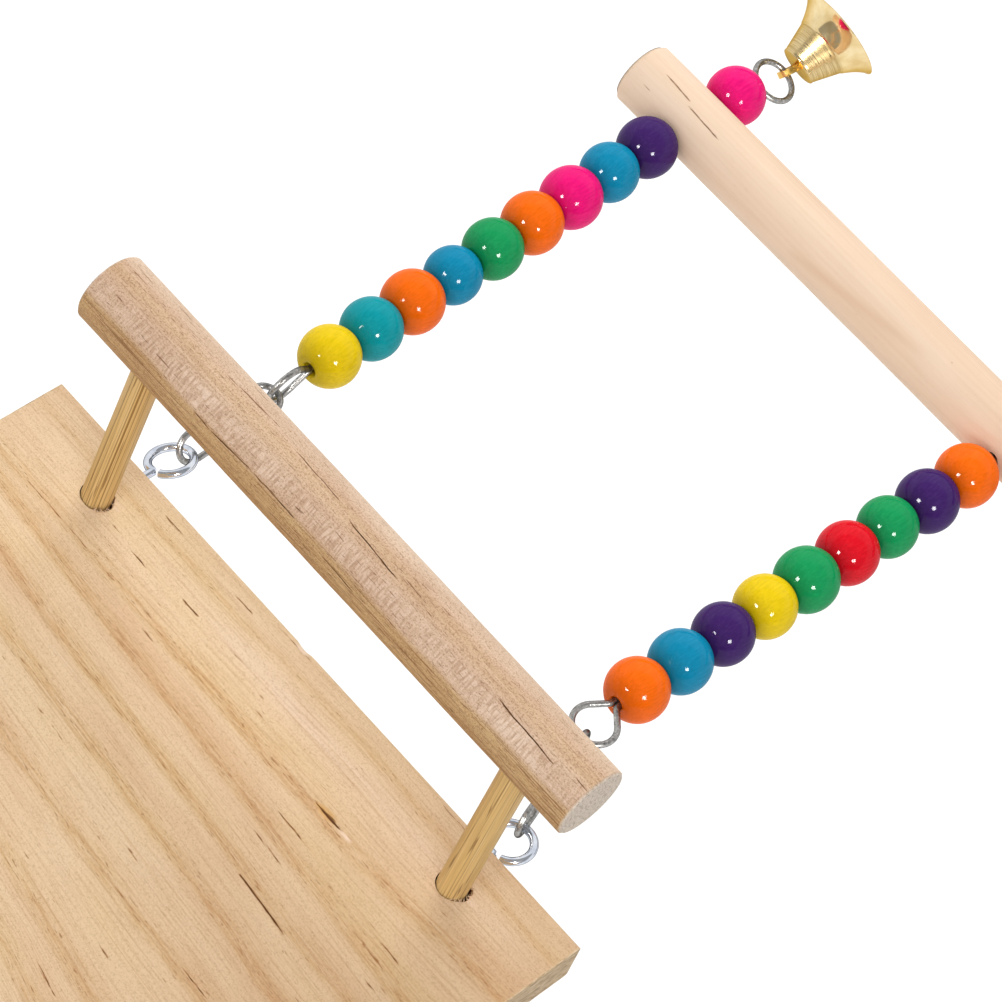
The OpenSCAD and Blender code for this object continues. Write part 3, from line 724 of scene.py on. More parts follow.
def platform_board():
    """Board made of lines that follow its grain, so that rings and flecks have points to lie on."""
    columns = np.linspace(-BOARD_X + 0.6, BOARD_X - 0.6, BOARD_COLUMNS)
    xs = np.concatenate([[-BOARD_X], columns, [BOARD_X]])
    marks = fleck_lines()
    inner = BOARD_Y - ARRIS
    rows = []
    for number in board_rows(marks):
        y = along_ring(xs, number)
        rows.append(np.clip(y, -inner, inner))
    top = np.sort(np.array(rows), axis=0)
    spread = np.linspace(-inner, inner, len(top))[:, None]
    top = 0.995 * top + 0.005 * spread
    top = np.vstack([np.full(len(xs), -inner), top, np.full(len(xs), inner)])
    loop = [(row, np.full(len(xs), BOARD_Z)) for row in top]
    for z in np.linspace(BOARD_Z - ARRIS, ARRIS, EDGE_ROWS):
        loop.append((np.full(len(xs), BOARD_Y), np.full(len(xs), z)))
    for y in np.linspace(inner, -inner, UNDER_ROWS):
        loop.append((np.full(len(xs), y), np.zeros(len(xs))))
    for z in np.linspace(ARRIS, BOARD_Z - ARRIS, EDGE_ROWS):
        loop.append((np.full(len(xs), -BOARD_Y), np.full(len(xs), z)))
    points = np.array([[xs, y, z] for y, z in loop]).transpose(2, 0, 1).reshape(-1, 3)
    piece = show("platform", mesh_of("platform", points, closed_tube(len(xs), len(loop)), pine))
    outward(piece.data)
    for hand in HANDS.values():
        carve(piece, ragged_hole(hand))
    grain_of_board(piece.data, marks)
    smooth(piece.data, 30)
    dress(piece, "stand", "pine", "platform_board")


def peg_place(hand):
    """From a peg's own axis to its hole in the board."""
    lean = Matrix.Rotation(math.radians(-PEG_LEAN), 4, "X")
    return Matrix.Translation(Vector((hand * PEG_X, PEG_FOOT_Y, BOARD_Z)) * MM) @ lean


def ragged_hole(hand):
    """Cutter for a peg's hole, torn on its right side."""
    rng = random.Random(hand + 7)
    around = 56
    depths = (-PEG_SEAT, -2.0, -0.9, 0.6)
    points = []
    for depth in depths:
        for i in range(around):
            a = 2 * math.pi * i / around
            torn = max(0.0, math.cos(a - TEAR * hand)) ** 3
            lift = (depth + 2.0) / 2.6 if depth > -2.0 else 0.0
            r = HOLE_R + lift * torn * (0.75 + 0.5 * rng.random()) + 0.05 * rng.random()
            points.append((r * math.cos(a), r * math.sin(a), depth))
    mesh = mesh_of("hole", points, closed_tube(len(depths), around), pine)
    mesh.transform(peg_place(hand))
    return mesh


def grain_of_board(mesh, marks):
    """Rings, flecks and wear, worked out from where each point is."""
    points = points_of(mesh)
    x, y, z = points.T
    deep = y + RING_LEAN * (BOARD_Z - z)
    waver = 0.5 * hash_noise(x, 3, 23) + 0.22 * hash_noise(x + 40 * y, 4, 6)
    lines = ring_lines(x)
    late = np.zeros(len(x))
    for (strength, soft, hard, _), line in zip(RINGS, lines):
        off = deep - line + 0.35 * waver
        width = 1.5 * np.where(off < 0, hard, soft)
        late = np.maximum(late, strength * np.exp(-(off / width) ** 2))
        thin = off - 5.0
        late = np.maximum(late, 0.30 * strength * np.exp(-(thin / 0.8) ** 2))
    late *= 1 + 0.18 * hash_noise(x + 7 * y, 9, 19)
    on_top = z > BOARD_Z - 0.2
    flecks_and_hole_shade = np.zeros(len(x))
    for start, end, number, strength in marks:
        near = (x > start) & (x < end) & on_top
        line = along_ring(x[near], number)
        body = np.clip(1 - np.abs(y[near] - line) / 0.45, 0, 1) * taper(x[near], start, end, 2.5)
        flecks_and_hole_shade[near] = np.maximum(flecks_and_hole_shade[near], strength * body)
    start, end, level = RESIN_PIT
    pit_line = along_ring(x, ring_at(np.array([PIT_X]), np.array([level]))[0])
    lens = np.clip(1 - ((x - PIT_X) / (0.5 * (end - start))) ** 2, 0, 1)
    pit = np.where(on_top, np.clip(1.3 - np.abs(y - pit_line) / (0.1 + 0.42 * lens), 0, 1) * (lens > 0), 0)
    flecks_and_hole_shade = np.maximum(flecks_and_hole_shade, np.clip(pit, 0, 1))
    start, end, level = PIT_CHIP
    chip = np.exp(-((y - level) / 0.4) ** 2) * taper(x, start, end, 0.8) * on_top
    for hand in HANDS.values():
        around = np.hypot(x - hand * PEG_X, y - PEG_FOOT_Y)
        angle = np.arctan2(y - PEG_FOOT_Y, x - hand * PEG_X)
        torn = np.clip(np.cos(angle - TEAR * hand), 0, 1) * (around < 6.0)
        # The wall of each peg hole gets the fleck colour as painted shade in the recess.
        inside = (around < HOLE_R + 1.4) & (z < BOARD_Z - 0.02) & (z > 1)
        flecks_and_hole_shade[inside] = 0.7
        chip = np.maximum(chip, 0.5 * torn * np.clip(hash_noise(angle * 9 + hand, 8, 1), 0, 1) * on_top)
    edge = (y > BOARD_Y - 1.2) & (np.abs(x - EDGE_CHIP_X) < EDGE_CHIP_HALF)
    chip[edge & (z > BOARD_Z - 1.5)] = 0.6
    amber = np.where(on_top, np.clip(1.5 - np.abs(y - pit_line) / (0.3 + 0.75 * lens), 0, 1) * (lens > 0), 0)
    amber = 0.8 * amber * (1 - np.clip(pit, 0, 1)) * np.clip((AMBER_END - x) / 3, 0, 1)
    pale = 0.85 * np.exp(-((y - PALE_Y) / PALE_HALF) ** 2) * taper(x, *PALE_ENDS, 40) * on_top
    pale *= 0.75 + 0.25 * hash_noise(x + 9 * y, 12, 8)
    dent = 0.05 * flecks_and_hole_shade + 0.35 * np.clip(pit, 0, 1) + 0.02 * late
    moved = points.copy()
    moved[:, 2] -= np.where(on_top, dent, 0)
    moved[:, 1] -= np.where(edge & (z > 3), 0.5 * (1 - np.abs(x - EDGE_CHIP_X) / EDGE_CHIP_HALF), 0)
    mesh.vertices.foreach_set("co", (moved * MM).ravel())
    across = RING_SPACING * ring_at(x, deep)
    write_attribute(mesh, "grain", np.stack([x, across, np.zeros(len(x))], 1) * MM)
    # tint is a painted shade that darkens the board towards its right end.
    shares = {"late": late, "amber": amber, "flecks_and_hole_shade": flecks_and_hole_shade, "chip": chip, "pale": pale,
              "tint": (x + 10) / 110}
    for name, share in shares.items():
        write_attribute(mesh, name, np.clip(share, 0, 1))
    write_attribute(mesh, "end", np.where(np.abs(x) > BOARD_X - 0.01, 0.85, 0.0))


# Round bars

def bar_angles(fine):
    """Angles round a bar, closer together where cracks are drawn."""
    close = np.arange(BAR_START, 110, fine)
    wide = np.arange(110, BAR_START + 360, 4.0)
    return np.radians(np.concatenate([close, wide]))


def random_cracks(seed, half, count):
    rng = random.Random(seed)
    cracks = []
    for _ in range(count):
        x = rng.uniform(-half, half - 14)
        a = rng.uniform(115, 300)
        cracks.append((x, x + rng.uniform(4, 14), a, a + rng.uniform(-4, 4), rng.uniform(0.5, 0.9)))
    return tuple(cracks)


def crack_depth(x, degrees, radius, cracks, width):
    """How open the cracks are at each point."""
    depth = np.zeros(len(x))
    for start, end, first, last, strength in cracks:
        share = np.clip((x - start) / max(end - start, 0.01), 0, 1)
        wander = 0.6 * hash_noise(x + 31 * first, 2, 2.2)
        off = (degrees - (first + (last - first) * share) - wander) * math.pi / 180 * radius
        line = np.clip(1 - np.abs(off) / width, 0, 1) * taper(x, start, end, 1.8)
        depth = np.maximum(depth, strength * line)
    return depth


def round_bar(name, node, chamfer, cracks, fine, width, material):
    """A turned bar along X with cracks let into it: the mesh and the place of its points."""
    low, high = box_of(node)
    axis_y, axis_z = (low.y + high.y) / 2, (low.z + high.z) / 2
    radius = (high.z - low.z) / 2
    angles = bar_angles(fine)
    end = [radius * part for part in (0.18, 0.4, 0.6, 0.78, 0.9)] + [radius - chamfer]
    body = [(x, radius) for x in np.linspace(low.x + chamfer, high.x - chamfer, 210)]
    rings = np.array([(low.x, r) for r in end] + body + [(high.x, r) for r in reversed(end)])
    around = len(angles)
    x = np.repeat(rings[:, 0], around)
    r = np.repeat(rings[:, 1], around)
    a = np.tile(angles, len(rings))
    degrees = np.degrees(a)
    side = np.abs(r - radius) < 1e-6
    open_crack = np.where(side, crack_depth(x, degrees, radius, cracks, width), 0)
    r = r - CRACK_DEPTH * open_crack ** 2 - np.where(side, 0.03 + 0.03 * hash_noise(x + 50 * a, 6, 9), 0)
    points = np.stack([x, axis_y - r * np.sin(a), axis_z + r * np.cos(a)], 1)
    faces = tube_faces(len(rings), around)
    first, last = len(points), len(points) + 1
    points = np.vstack([points, [[low.x, axis_y, axis_z], [high.x, axis_y, axis_z]]])
    end_ring = (len(rings) - 1) * around
    for j in range(around):
        k = (j + 1) % around
        faces.append((j, first, k))
        faces.append((end_ring + j, end_ring + k, last))
    mesh = mesh_of(name, points, faces, material)
    outward(mesh)
    return mesh, Vector((0, axis_y, axis_z)), radius


def bar_place(mesh, axis):
    """Where each point of a bar is: x, angle in degrees, reach from the axis, and whether it is on an end."""
    x, y, z = points_of(mesh).T
    degrees = np.degrees(np.arctan2(axis.y - y, z - axis.z))
    degrees = np.where(degrees < BAR_START, degrees + 360, degrees)
    reach = np.hypot(y - axis.y, z - axis.z)
    on_end = (np.abs(x - x.min()) < 0.02) | (np.abs(x - x.max()) < 0.02)
    return x, degrees, reach, on_end


def strips(degrees, rows):
    """How much each angle belongs to the strips, which have soft edges."""
    total = np.zeros(len(degrees))
    for low, high, soft, strength in rows:
        inside = np.clip((degrees - low) / soft, 0, 1) * np.clip((high - degrees) / soft, 0, 1)
        total += strength * inside
    return total


def rail_perch():
    cracks = RAIL_CRACKS + random_cracks(RAIL_SEED, 70, 34)
    mesh, axis, radius = round_bar("rail", "rail_perch", 0.5, cracks, 0.9, RAIL_CRACK, rail_wood)
    x, degrees, _, on_end = bar_place(mesh, axis)
    crack = np.where(on_end, 0, crack_depth(x, degrees, radius, cracks, RAIL_CRACK))
    wavy = degrees + 2.0 * hash_noise(x, 15, 9)
    ripple = np.clip(strips(wavy, RAIL_RIPPLES), 0, 1) * (0.7 + 0.3 * hash_noise(x, 16, 14))
    write_attribute(mesh, "crack", crack)
    write_attribute(mesh, "ripple", ripple)
    write_attribute(mesh, "gold", strips(wavy, RAIL_GOLD))
    # The pale strips are painted light on the side away from the platform.
    write_attribute(mesh, "pale", strips(wavy, RAIL_PAINTED_LIGHT))
    write_attribute(mesh, "end", np.where(on_end, 1.0, 0.0))
    smooth(mesh, 30)
    dress(show("rail", mesh), "stand", "rail_wood", "rail_perch")


def swing_perch():
    cracks = SWING_CRACKS + random_cracks(SWING_SEED, 68, 10)
    mesh, axis, radius = round_bar("swing_bar", "swing_perch", 1.0, cracks, 1.1, SWING_CRACK, dowel_wood)
    piece = show("swing_bar", mesh)
    for side in HANDS:
        carve(piece, wire_hole(side, radius))
    mesh = piece.data
    x, degrees, reach, on_end = bar_place(mesh, axis)
    bored = reach < radius - 1.2
    crack = np.where(on_end | bored, 0, crack_depth(x, degrees, radius, cracks, SWING_CRACK))
    start, end, first, last = SWING_STAIN
    line = first + (last - first) * np.clip((x - start) / (end - start), 0, 1)
    stain = 0.35 * np.exp(-((degrees - line) / 9) ** 2) * taper(x, start, end, 12)
    write_attribute(mesh, "crack", crack)
    write_attribute(mesh, "stain", np.clip(stain, 0, 1))
    write_attribute(mesh, "end", np.where(on_end, 1.0, 0.0))
    smooth(mesh, 30)
    dress(piece, "swing", "dowel_wood", "swing_perch")


def bead_line(side):
    """Where a hanger's beads cross the swing bar's axis, and the way they run towards the chain."""
    first, last = middle(side + "_bead_1"), middle(side + "_bead_9")
    run = (first - last).normalized()
    bar = middle("swing_perch")
    return last + run * ((bar.y - last.y) / run.y), run


def wire_hole(side, radius):
    """Cutter for the hole that a hanger wire runs through."""
    at, run = bead_line(side)
    angles = circle(28)
    points = ring_of(WIRE_HOLE_R, angles, -radius - 1) + ring_of(WIRE_HOLE_R, angles, radius + 1)
    mesh = mesh_of("wire_hole", points, closed_tube(2, len(angles)), dowel_wood)
    mesh.transform(set_along(run, at * MM))
    return mesh


def peg(side):
    """Split cane peg with long flats and ridges of fibre."""
    hand = HANDS[side]
    name = side + "_cane_peg"
    heights = np.linspace(-PEG_SEAT, PEG_TOP, 72)
    angles = circle(96)
    flats = 0.10 * np.abs(hash_noise(angles * 10 + 9 * hand, 31, 3.1))
    ridges = 0.05 * np.abs(hash_noise(angles * 30 + 5 * hand, 33, 1.0))
    points = []
    for s in heights:
        r = PEG_R - flats - ridges * (0.6 + 0.4 * math.sin(0.3 * s + hand))
        points += ring_of(r - (0.25 if s in (heights[0], heights[-1]) else 0), angles, s)
    mesh = mesh_of(name, points, closed_tube(len(heights), len(angles)), bamboo)
    write_attribute(mesh, "grain", np.asarray(points) * MM + np.array([0.05 * hand, 0, 0.2 * hand]))
    write_attribute(mesh, "ribbed", np.full(len(points), 0.85 if side == "left" else 0.25))
    mesh.transform(peg_place(hand))
    smooth(mesh, 40)
    dress(show(name, mesh), "stand", "bamboo", side + "_peg")


# Turned pieces

def piece_tree(name, start, *numbers):
    """A geometry tree that takes a start, numbers and a finish, with its input sockets."""
    tree = bpy.data.node_groups.new(name, "GeometryNodeTree")

    def socket(label, kind, way="INPUT"):
        return tree.interface.new_socket(name=label, in_out=way, socket_type="NodeSocket" + kind)

    socket(start, "Geometry")
    for label, value in numbers:
        socket(label, "Int" if isinstance(value, int) else "Float").default_value = value
    socket("Finish", "Material")
    socket("Piece", "Geometry", "OUTPUT")
    nodes = Nodes(tree)
    return nodes, nodes.node("NodeGroupInput").outputs


def finish_tree(t, take, geometry):
    """The geometry made real and given its finish, as the tree's piece."""
    real = t.node("GeometryNodeRealizeInstances", Geometry=geometry)
    finished = t.node("GeometryNodeSetMaterial", Geometry=real.outputs[0], Material=take["Finish"])
    t.node("NodeGroupOutput", Piece=finished.outputs[0])
    return t.tree


def run_tree(piece, tree, given):
    """A tree's inputs are given by name, and what it makes becomes the piece's plain mesh."""
    nodes = piece.modifiers.new(tree.name, "NODES")
    nodes.node_group = tree
    for item in tree.interface.items_tree:
        if item.in_out == "INPUT" and item.name in given:
            nodes[item.identifier] = given[item.name]
    settle(piece)


def turning_tree():
    """Turns a closed outline round the Z axis and makes it slightly uneven."""
    t, take = piece_tree("turned_piece", "Outline", ("Path Radius", 0.01), ("Segments", 64),
                         ("Unevenness", 0.0), ("Lump Scale", 200.0), ("Seed", 0.0))
    path = t.node("GeometryNodeCurvePrimitiveCircle", Resolution=take["Segments"], Radius=take["Path Radius"])
    outline = t.node("GeometryNodeMeshToCurve", Mesh=take["Outline"])
    turned = t.node("GeometryNodeCurveToMesh", Curve=path.outputs[0], Profile_Curve=outline.outputs[0])
    closed = t.node("GeometryNodeMergeByDistance", Geometry=turned.outputs[0], Distance=1e-6)
    lumps = t.node("ShaderNodeTexNoise", {"noise_dimensions": "4D"}, Scale=take["Lump Scale"], W=take["Seed"])
    height = t.times(t.math("SUBTRACT", lumps.outputs[0], 0.5), take["Unevenness"])
    push = t.node("ShaderNodeVectorMath", {"operation": "SCALE"}, Scale=height)
    t.feed(push.inputs[0], t.node("GeometryNodeInputNormal").outputs[0])
    moved = t.node("GeometryNodeSetPosition", Geometry=closed.outputs[0], Offset=push.outputs[0])
    return finish_tree(t, take, moved.outputs[0])


turning = turning_tree()


def turned(name, outline, segments, material, place, uneven=0.0, lump=200.0, seed=0.0, grain_shift=0.0):
    """A piece turned from a closed outline of (radius, height) in millimetres, put at its place."""
    path = 0.01
    points = [(r * MM - path, -z * MM, 0.0) for r, z in outline]
    edges = [(i, (i + 1) % len(points)) for i in range(len(points))]
    profile = bpy.data.meshes.new(name)
    profile.from_pydata(points, edges, [])
    piece = show(name, profile)
    run_tree(piece, turning, {"Path Radius": path, "Segments": segments, "Unevenness": uneven * MM,
                              "Lump Scale": lump, "Seed": seed, "Finish": material})
    outward(piece.data)
    write_attribute(piece.data, "grain", points_of(piece.data) * MM + grain_shift)
    piece.data.transform(place)
    smooth(piece.data, 50)
    return piece


def bead_outline(radius, length, hole):
    """Ball with flats and eased edges at its hole."""
    half = length / 2
    flat = math.asin(half / radius)
    bends = [flat * (-1 + 2 * i / 40) for i in range(41)]
    outer = [(radius * math.cos(a), radius * math.sin(a)) for a in bends]
    mouth = [(hole + 0.45, half), (hole + 0.16, half - 0.1), (hole, half - 0.4)]
    inside = [(hole, half - 0.4 - (length - 0.8) * i / 6) for i in range(1, 6)]
    return outer + mouth + inside + [(r, -z) for r, z in reversed(mouth)]


def bead(node, name, run, seed):
    """Bead on its wire: its grain and its turn follow from the seed."""
    low, high = box_of(node)
    radius = (high.z - low.z) / 2
    outline = bead_outline(radius - 0.02, BEAD_LENGTH, BEAD_HOLE_R)
    place = set_along(run, middle(node) * MM) @ Matrix.Rotation(2.4 * seed, 4, "Z")
    piece = turned(node + "_ball", outline, 72, lacquer[name], place, 0.10, 190.0, seed, 0.031 * seed)
    along = np.abs((points_of(piece.data) - np.array(middle(node))) @ np.array(run))
    # Painted shade, growing towards both hole ends, where neighbouring beads meet.
    write_attribute(piece.data, "painted_contact_shade", 0.6 * np.clip((along - 3.0) / 3.6, 0, 1) ** 1.5)
    dress(piece, body_of_node(node), "bead_" + name, node)


def beads():
    seed = BEAD_SEED
    for side in HANDS:
        at, run = bead_line(side)
        for n, name in enumerate(BEAD_ORDER[side], 1):
            bead(f"{side}_bead_{n}", name, run, seed)
            seed += 1
        lower = side + "_lower_bead"
        bead(lower, LOWER_BEAD_TONE[side], (middle(lower) - at).normalized(), seed)
        seed += 1


def bell_outline():
    """Spun bell from its crown down: lip, straight wall, crease, flared skirt, rolled rim."""
    outer = [(0.0, 0.0), (3.2, 0.0), (5.0, 0.02), (5.28, 0.14), (5.36, 0.36), (5.3, 0.62), (5.4, 0.86)]
    for i in range(1, 13):
        u = i / 12
        outer.append((5.4 + 2.4 * u, 0.86 + 6.7 * u))
    outer += [(7.92, 7.72), (8.14, 7.92)]
    for i in range(1, 21):
        u = i / 20
        outer.append((8.14 + 4.36 * (0.72 * u + 0.28 * u ** 3), 7.92 + 5.58 * u))
    tip_r, tip_z = outer[-1]
    rim = [(tip_r - 0.2, tip_z), (tip_r - 0.5, tip_z - 0.02), (tip_r - 0.72, tip_z - 0.16)]
    outer[-1] = (tip_r, tip_z - 0.14)
    inner = [(r - BELL_WALL, max(z, BELL_WALL)) for r, z in reversed(outer[5:-2])]
    inner += [(r, BELL_WALL) for r in (4.4, 2.0, 0.0)]
    return outer + rim + inner


def bell(side):
    """Bell on the axis of its CAD solid."""
    hand = HANDS[side]
    node = side + "_bell"
    toe = Matrix.Rotation(math.radians(hand * BELL_TOE), 3, "Z")
    rise = Matrix.Rotation(math.radians(BELL_RISE), 3, "X")
    axis = toe @ rise @ Vector((0, 1, 0))
    turn = axis.to_track_quat("Z", "Y").to_matrix()
    points = np.array([vertex.co[:] for vertex in cad[node].data.vertices]) @ np.array(turn)
    rim = points[points[:, 2] > points[:, 2].max() - 0.0001]
    hub = (rim.min(0) + rim.max(0)) / 2
    crown = turn @ Vector((hub[0], hub[1], points[:, 2].min()))
    place = Matrix.Translation(crown) @ turn.to_4x4()
    piece = turned(node + "_shell", bell_outline(), 128, brass, place)
    dress(piece, node, "brass", node)


# Cage clamps at the rear edge

def stud(side):
    """Threaded stud: the thread is cut in its outer part, and its ends are eased."""
    name = side + "_threaded_stud"
    threaded = np.linspace(THREAD_FROM, STUD_OUT - 0.6, 318)
    heights = np.concatenate([[-STUD_IN, 0.4 - STUD_IN], threaded, [STUD_OUT]])
    angles = circle(36)
    points = []
    for s in heights:
        phase = (s / THREAD_PITCH - angles / (2 * math.pi)) % 1.0
        groove = THREAD_DEPTH * (1 - np.abs(2 * phase - 1))
        ease = np.full(len(angles), STUD_EASE if s in (-STUD_IN, STUD_OUT) else 0.0)
        points += ring_of(STUD_R - (groove if THREAD_FROM < s < STUD_OUT else ease), angles, s)
    mesh = mesh_of(name, points, closed_tube(len(heights), len(angles)), zinc)
    outward(mesh)
    mesh.transform(stud_place(HANDS[side]))
    smooth(mesh, 50)
    dress(show(name, mesh), "stand", "zinc", side + "_stud")


def stud_place(hand):
    """From a stud's own axis, rearwards along +Z, to the board's rear edge."""
    turn = Matrix.Rotation(math.radians(90), 4, "X")
    return Matrix.Translation(Vector((STUD_X * hand, -BOARD_Y, BOARD_Z / 2)) * MM) @ turn


def washer(side, name):
    """Stamped washer: one edge rounded over, the other sharp."""
    node = f"{side}_{name}_washer"
    outline = [(2.6, 0.12), (2.72, 0.0), (5.5, 0.0), (5.72, 0.06), (5.8, 0.24), (5.8, 1.0), (5.74, 1.14),
               (5.6, 1.2), (2.8, 1.2), (2.66, 1.14), (2.6, 1.0)]
    place = stud_place(HANDS[side]) @ Matrix.Translation((0, 0, WASHER_AT[name] * MM))
    piece = turned(node + "_ring", outline, 64, zinc, place)
    dress(piece, body_of_node(node), "zinc", node)


def wing_nut(side):
    """Cast wing nut: the solid's edges are melted together."""
    node = side + "_wing_nut"
    mesh = cad[node].data.copy()
    mesh.name = node + "_cast"
    if mesh.has_custom_normals:
        mesh.attributes.remove(mesh.attributes["custom_normal"])
    outward(mesh)
    piece = show(node + "_cast", mesh)
    melt = piece.modifiers.new("melt", "REMESH")
    melt.mode = "VOXEL"
    melt.voxel_size = NUT_GRID * MM
    ease = piece.modifiers.new("ease", "SMOOTH")
    ease.factor = 0.5
    ease.iterations = 6
    settle(piece)
    piece.data.materials.clear()
    piece.data.materials.append(zinc)
    smooth(piece.data, 70)
    dress(piece, body_of_node(node), "zinc", node)


# Frayed fibres

def fray_tree():
    """Sets thin splinters on points, each along its own way."""
    t, take = piece_tree("frayed_fibres", "Roots", ("Length", 0.0012), ("Thickness", 0.00012))
    fibre = t.node("GeometryNodeMeshCone", Vertices=5, Radius_Top=0.00002, Radius_Bottom=take["Thickness"],
                   Depth=take["Length"])
    way = t.node("GeometryNodeInputNamedAttribute", {"data_type": "FLOAT_VECTOR"}, Name="way")
    turn = t.node("FunctionNodeAlignRotationToVector", {"axis": "Z"}, Vector=way.outputs[0])
    size = t.node("FunctionNodeRandomValue", {"data_type": "FLOAT"}, Seed=FRAY_SEED)
    size.inputs[2].default_value = 0.45
    size.inputs[3].default_value = 1.25
    spread = t.node("GeometryNodeInstanceOnPoints", Points=take["Roots"], Instance=fibre.outputs[0],
                    Rotation=turn.outputs[0], Scale=size.outputs[1])
    return finish_tree(t, take, spread.outputs[0])


def splinter_finish():
    """Bare torn wood."""
    f = Finish("splinters")
    where = f.place()
    grain = f.noise(where, (2500, 2500, 2500), 2.0)
    f.set(Base_Color=f.ramp(grain, (0.3, (206, 164, 118)), (0.7, (236, 208, 174))), Roughness=0.75)
    return f.material


def frayed_fibres():
    """Splinters round the peg holes and along the sawn ends of the board."""
    rng = random.Random(FRAY_SEED)
    roots, ways = [], []
    for hand in HANDS.values():
        for _ in range(HOLE_SPLINTERS):
            a = rng.gauss(TEAR * hand, 0.55)
            r = HOLE_R + 0.75 * max(0.0, math.cos(a - TEAR * hand)) ** 3 + rng.uniform(-0.05, 0.35)
            roots.append((hand * PEG_X + r * math.cos(a), PEG_FOOT_Y + r * math.sin(a), BOARD_Z + 0.02))
            ways.append((-math.cos(a) + rng.uniform(-0.8, 0.8), -math.sin(a) + rng.uniform(-0.8, 0.8),
                         rng.uniform(0.05, 0.5)))
    for hand in HANDS.values():
        for _ in range(END_SPLINTERS):
            roots.append((hand * (BOARD_X - 0.32), rng.uniform(-60, 60), BOARD_Z - rng.uniform(0.0, 0.4)))
            ways.append((0.1 * hand, rng.choice((-1, 1)) * rng.uniform(0.4, 1), rng.uniform(-0.9, 0.05)))
    mesh = bpy.data.meshes.new("board_fray")
    mesh.from_pydata((np.array(roots) * MM).tolist(), [], [])
    write_attribute(mesh, "way", np.array(ways))
    piece = show("board_fray", mesh)
    run_tree(piece, fray_tree(), {"Length": 1.1 * MM, "Thickness": 0.10 * MM, "Finish": splinter_finish()})
    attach(piece, "stand")


# Pieces whose CAD shape stays

def carried_over(material, *nodes):
    """CAD pieces shown as they are, in a finish."""
    for node in nodes:
        piece = cad[node]
        if piece.material_slots:
            piece.material_slots[0].material = material
        else:
            piece.data.materials.append(material)


def metal_of_cad():
    for side in HANDS:
        carried_over(zinc, side + "_screw_eye")
        carried_over(steel, side + "_hanger_wire", *(f"{side}_link_{n}" for n in (1, 2, 3)))
        carried_over(strap_brass, side + "_bell_strap", side + "_clapper")


# Studio

def camera():
    """Long lens from above the platform's right rear corner, as in the photograph."""
    right = Vector((0.66041783, 0.70990687, 0.24470497))
    down = Vector((0.6957462, -0.45592071, -0.55504372))
    ahead = Vector((-0.28246329, 0.53681332, -0.79501317))
    lens = bpy.data.cameras.new("camera")
    lens.sensor_width = 36.0
    lens.sensor_fit = "HORIZONTAL"
    lens.lens = FOCAL_PX * lens.sensor_width / IMAGE_PX
    lens.clip_start = 0.02
    lens.clip_end = 30.0
    eye = bpy.data.objects.new("camera", lens)
    place = Matrix((right, -down, -ahead)).transposed().to_4x4()
    place.translation = Vector((0.268822, -0.399445, 0.789006))
    eye.matrix_world = place
    bpy.context.scene.collection.objects.link(eye)
    bpy.context.scene.camera = eye


def facing(way, distance):
    """Placement at a distance from the part, facing it."""
    way = Vector(way).normalized()
    return set_along(way, AIM + way * distance)


def lamp(name, way, distance, size, level, gloss=True, matt=True):
    """A square lamp, level times what shows a colour as written, for gloss, for matt surfaces or both."""
    light = bpy.data.lights.new(name, "AREA")
    light.shape = "SQUARE"
    light.size = size
    light.energy = level * math.pi ** 2 * distance ** 2
    holder = bpy.data.objects.new(name, light)
    holder.matrix_world = facing(way, distance)
    holder.visible_glossy = gloss
    holder.visible_diffuse = matt
    bpy.context.scene.collection.objects.link(holder)


def by_ray(t, unseen, seen):
    """One level for the light that falls on things, another for camera, mirror and glass rays."""
    path = t.node("ShaderNodeLightPath").outputs
    direct = t.math("MAXIMUM", path["Is Camera Ray"], path["Is Glossy Ray"])
    direct = t.math("MAXIMUM", direct, path["Is Transmission Ray"])
    return t.node("ShaderNodeMapRange", Value=direct, To_Min=unseen, To_Max=seen).outputs[0]


def world(level):
    """White room that is seen at full strength and lights things at the given level."""
    room = bpy.data.worlds.new("room")
    room.use_nodes = True
    nodes = Nodes(room.node_tree)
    background = room.node_tree.nodes["Background"]
    nodes.feed(background.inputs["Color"], WHITE)
    nodes.feed(background.inputs["Strength"], by_ray(nodes, level, 1.0))
    bpy.context.scene.world = room


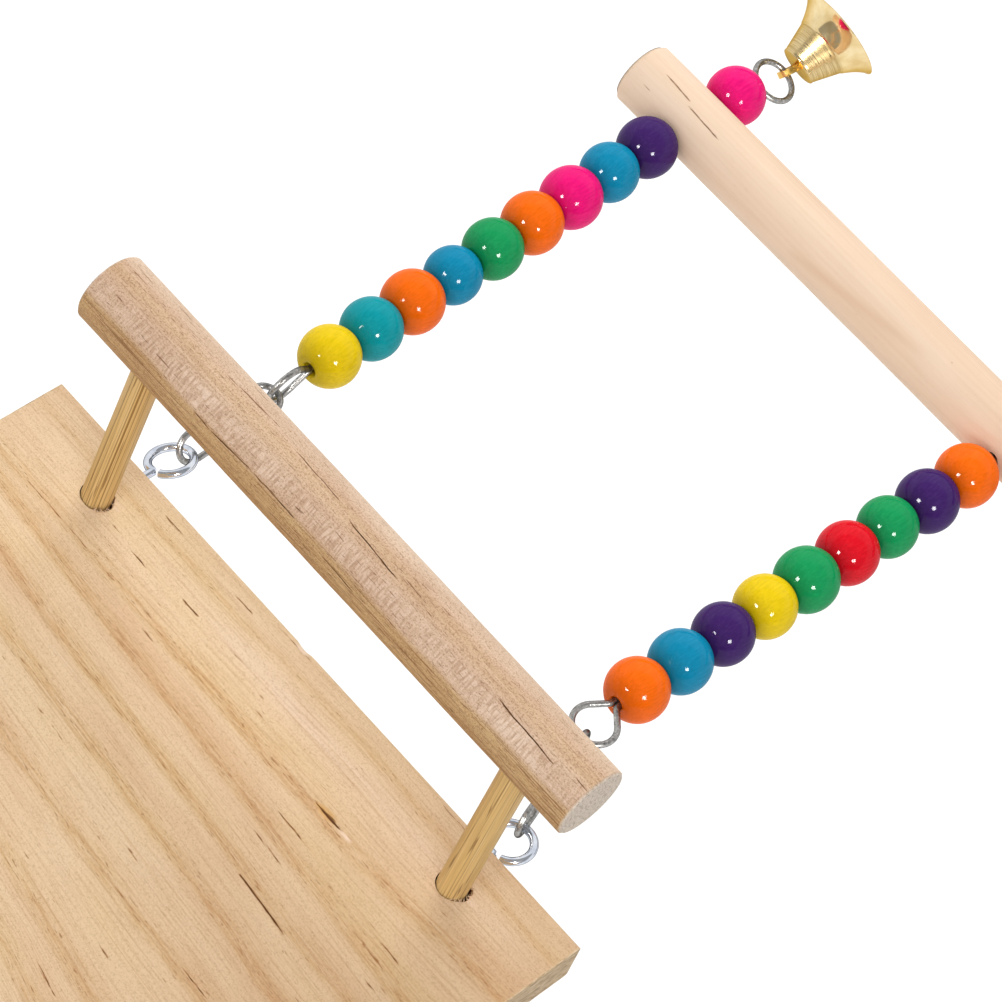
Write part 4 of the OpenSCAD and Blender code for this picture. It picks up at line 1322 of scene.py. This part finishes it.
def sheet(name, half_width, half_height, finish):
    """A flat sheet in the XY plane, in metres."""
    mesh = bpy.data.meshes.new(name)
    corners = [(x * half_width, y * half_height, 0.0) for x, y in ((-1, -1), (1, -1), (1, 1), (-1, 1))]
    mesh.from_pydata(corners, [], [(0, 1, 2, 3)])
    mesh.materials.append(finish.material)
    return mesh


def floor():
    """White floor that keeps a faint shadow, low enough for the swing to hang clear of it."""
    f = Finish("floor")
    f.set(Base_Color=by_ray(f, 0.85, 0.25), Roughness=0.9, Specular_IOR_Level=0.0)
    f.set(Emission_Color=WHITE, Emission_Strength=by_ray(f, 0.0, 0.85))
    mesh = sheet("floor", 6.0, 6.0, f)
    mesh.transform(Matrix.Translation((0.0, 0.0, FLOOR_Z)))
    show("floor", mesh)


def dark_card(name, way, distance, width, height, shade):
    """A card that only mirrors show, so that polished metal has an edge."""
    f = Finish(name)
    f.set(Base_Color=(0.0, 0.0, 0.0, 1.0), Specular_IOR_Level=0.0)
    f.set(Emission_Color=WHITE, Emission_Strength=shade)
    mesh = sheet(name, width / 2, height / 2, f)
    mesh.transform(facing(way, distance))
    card = show(name, mesh)
    card.visible_camera = False
    card.visible_diffuse = False
    card.visible_shadow = False


platform_board()
rail_perch()
swing_perch()
beads()
for side in HANDS:
    peg(side)
    bell(side)
    stud(side)
    washer(side, "inner")
    washer(side, "outer")
    wing_nut(side)
frayed_fibres()
metal_of_cad()

bpy.context.scene.view_settings.view_transform = "Standard"
camera()
world(0.44)
floor()
lamp("near_left_window", (-0.158, -0.805, 0.568), 1.5, 0.30, 0.85, matt=False)
lamp("near_right_window", (0.777, -0.363, 0.516), 1.5, 0.30, 0.85, matt=False)
lamp("near_softbox", (0.282, -0.537, 0.795), 1.8, 2.2, 0.80, gloss=False)
lamp("far_softbox", (-0.50, 0.68, 0.54), 1.7, 1.3, 0.64, gloss=False)
dark_card("front_card", (0.282, -0.537, 0.795), 1.9, 9.0, 9.0, 0.38)
dark_card("low_card", (0.9, -0.5, 0.12), 1.6, 1.6, 0.30, 0.06)
dark_card("far_card", (0.0, 0.97, 0.12), 1.5, 3.0, 0.30, 0.04)
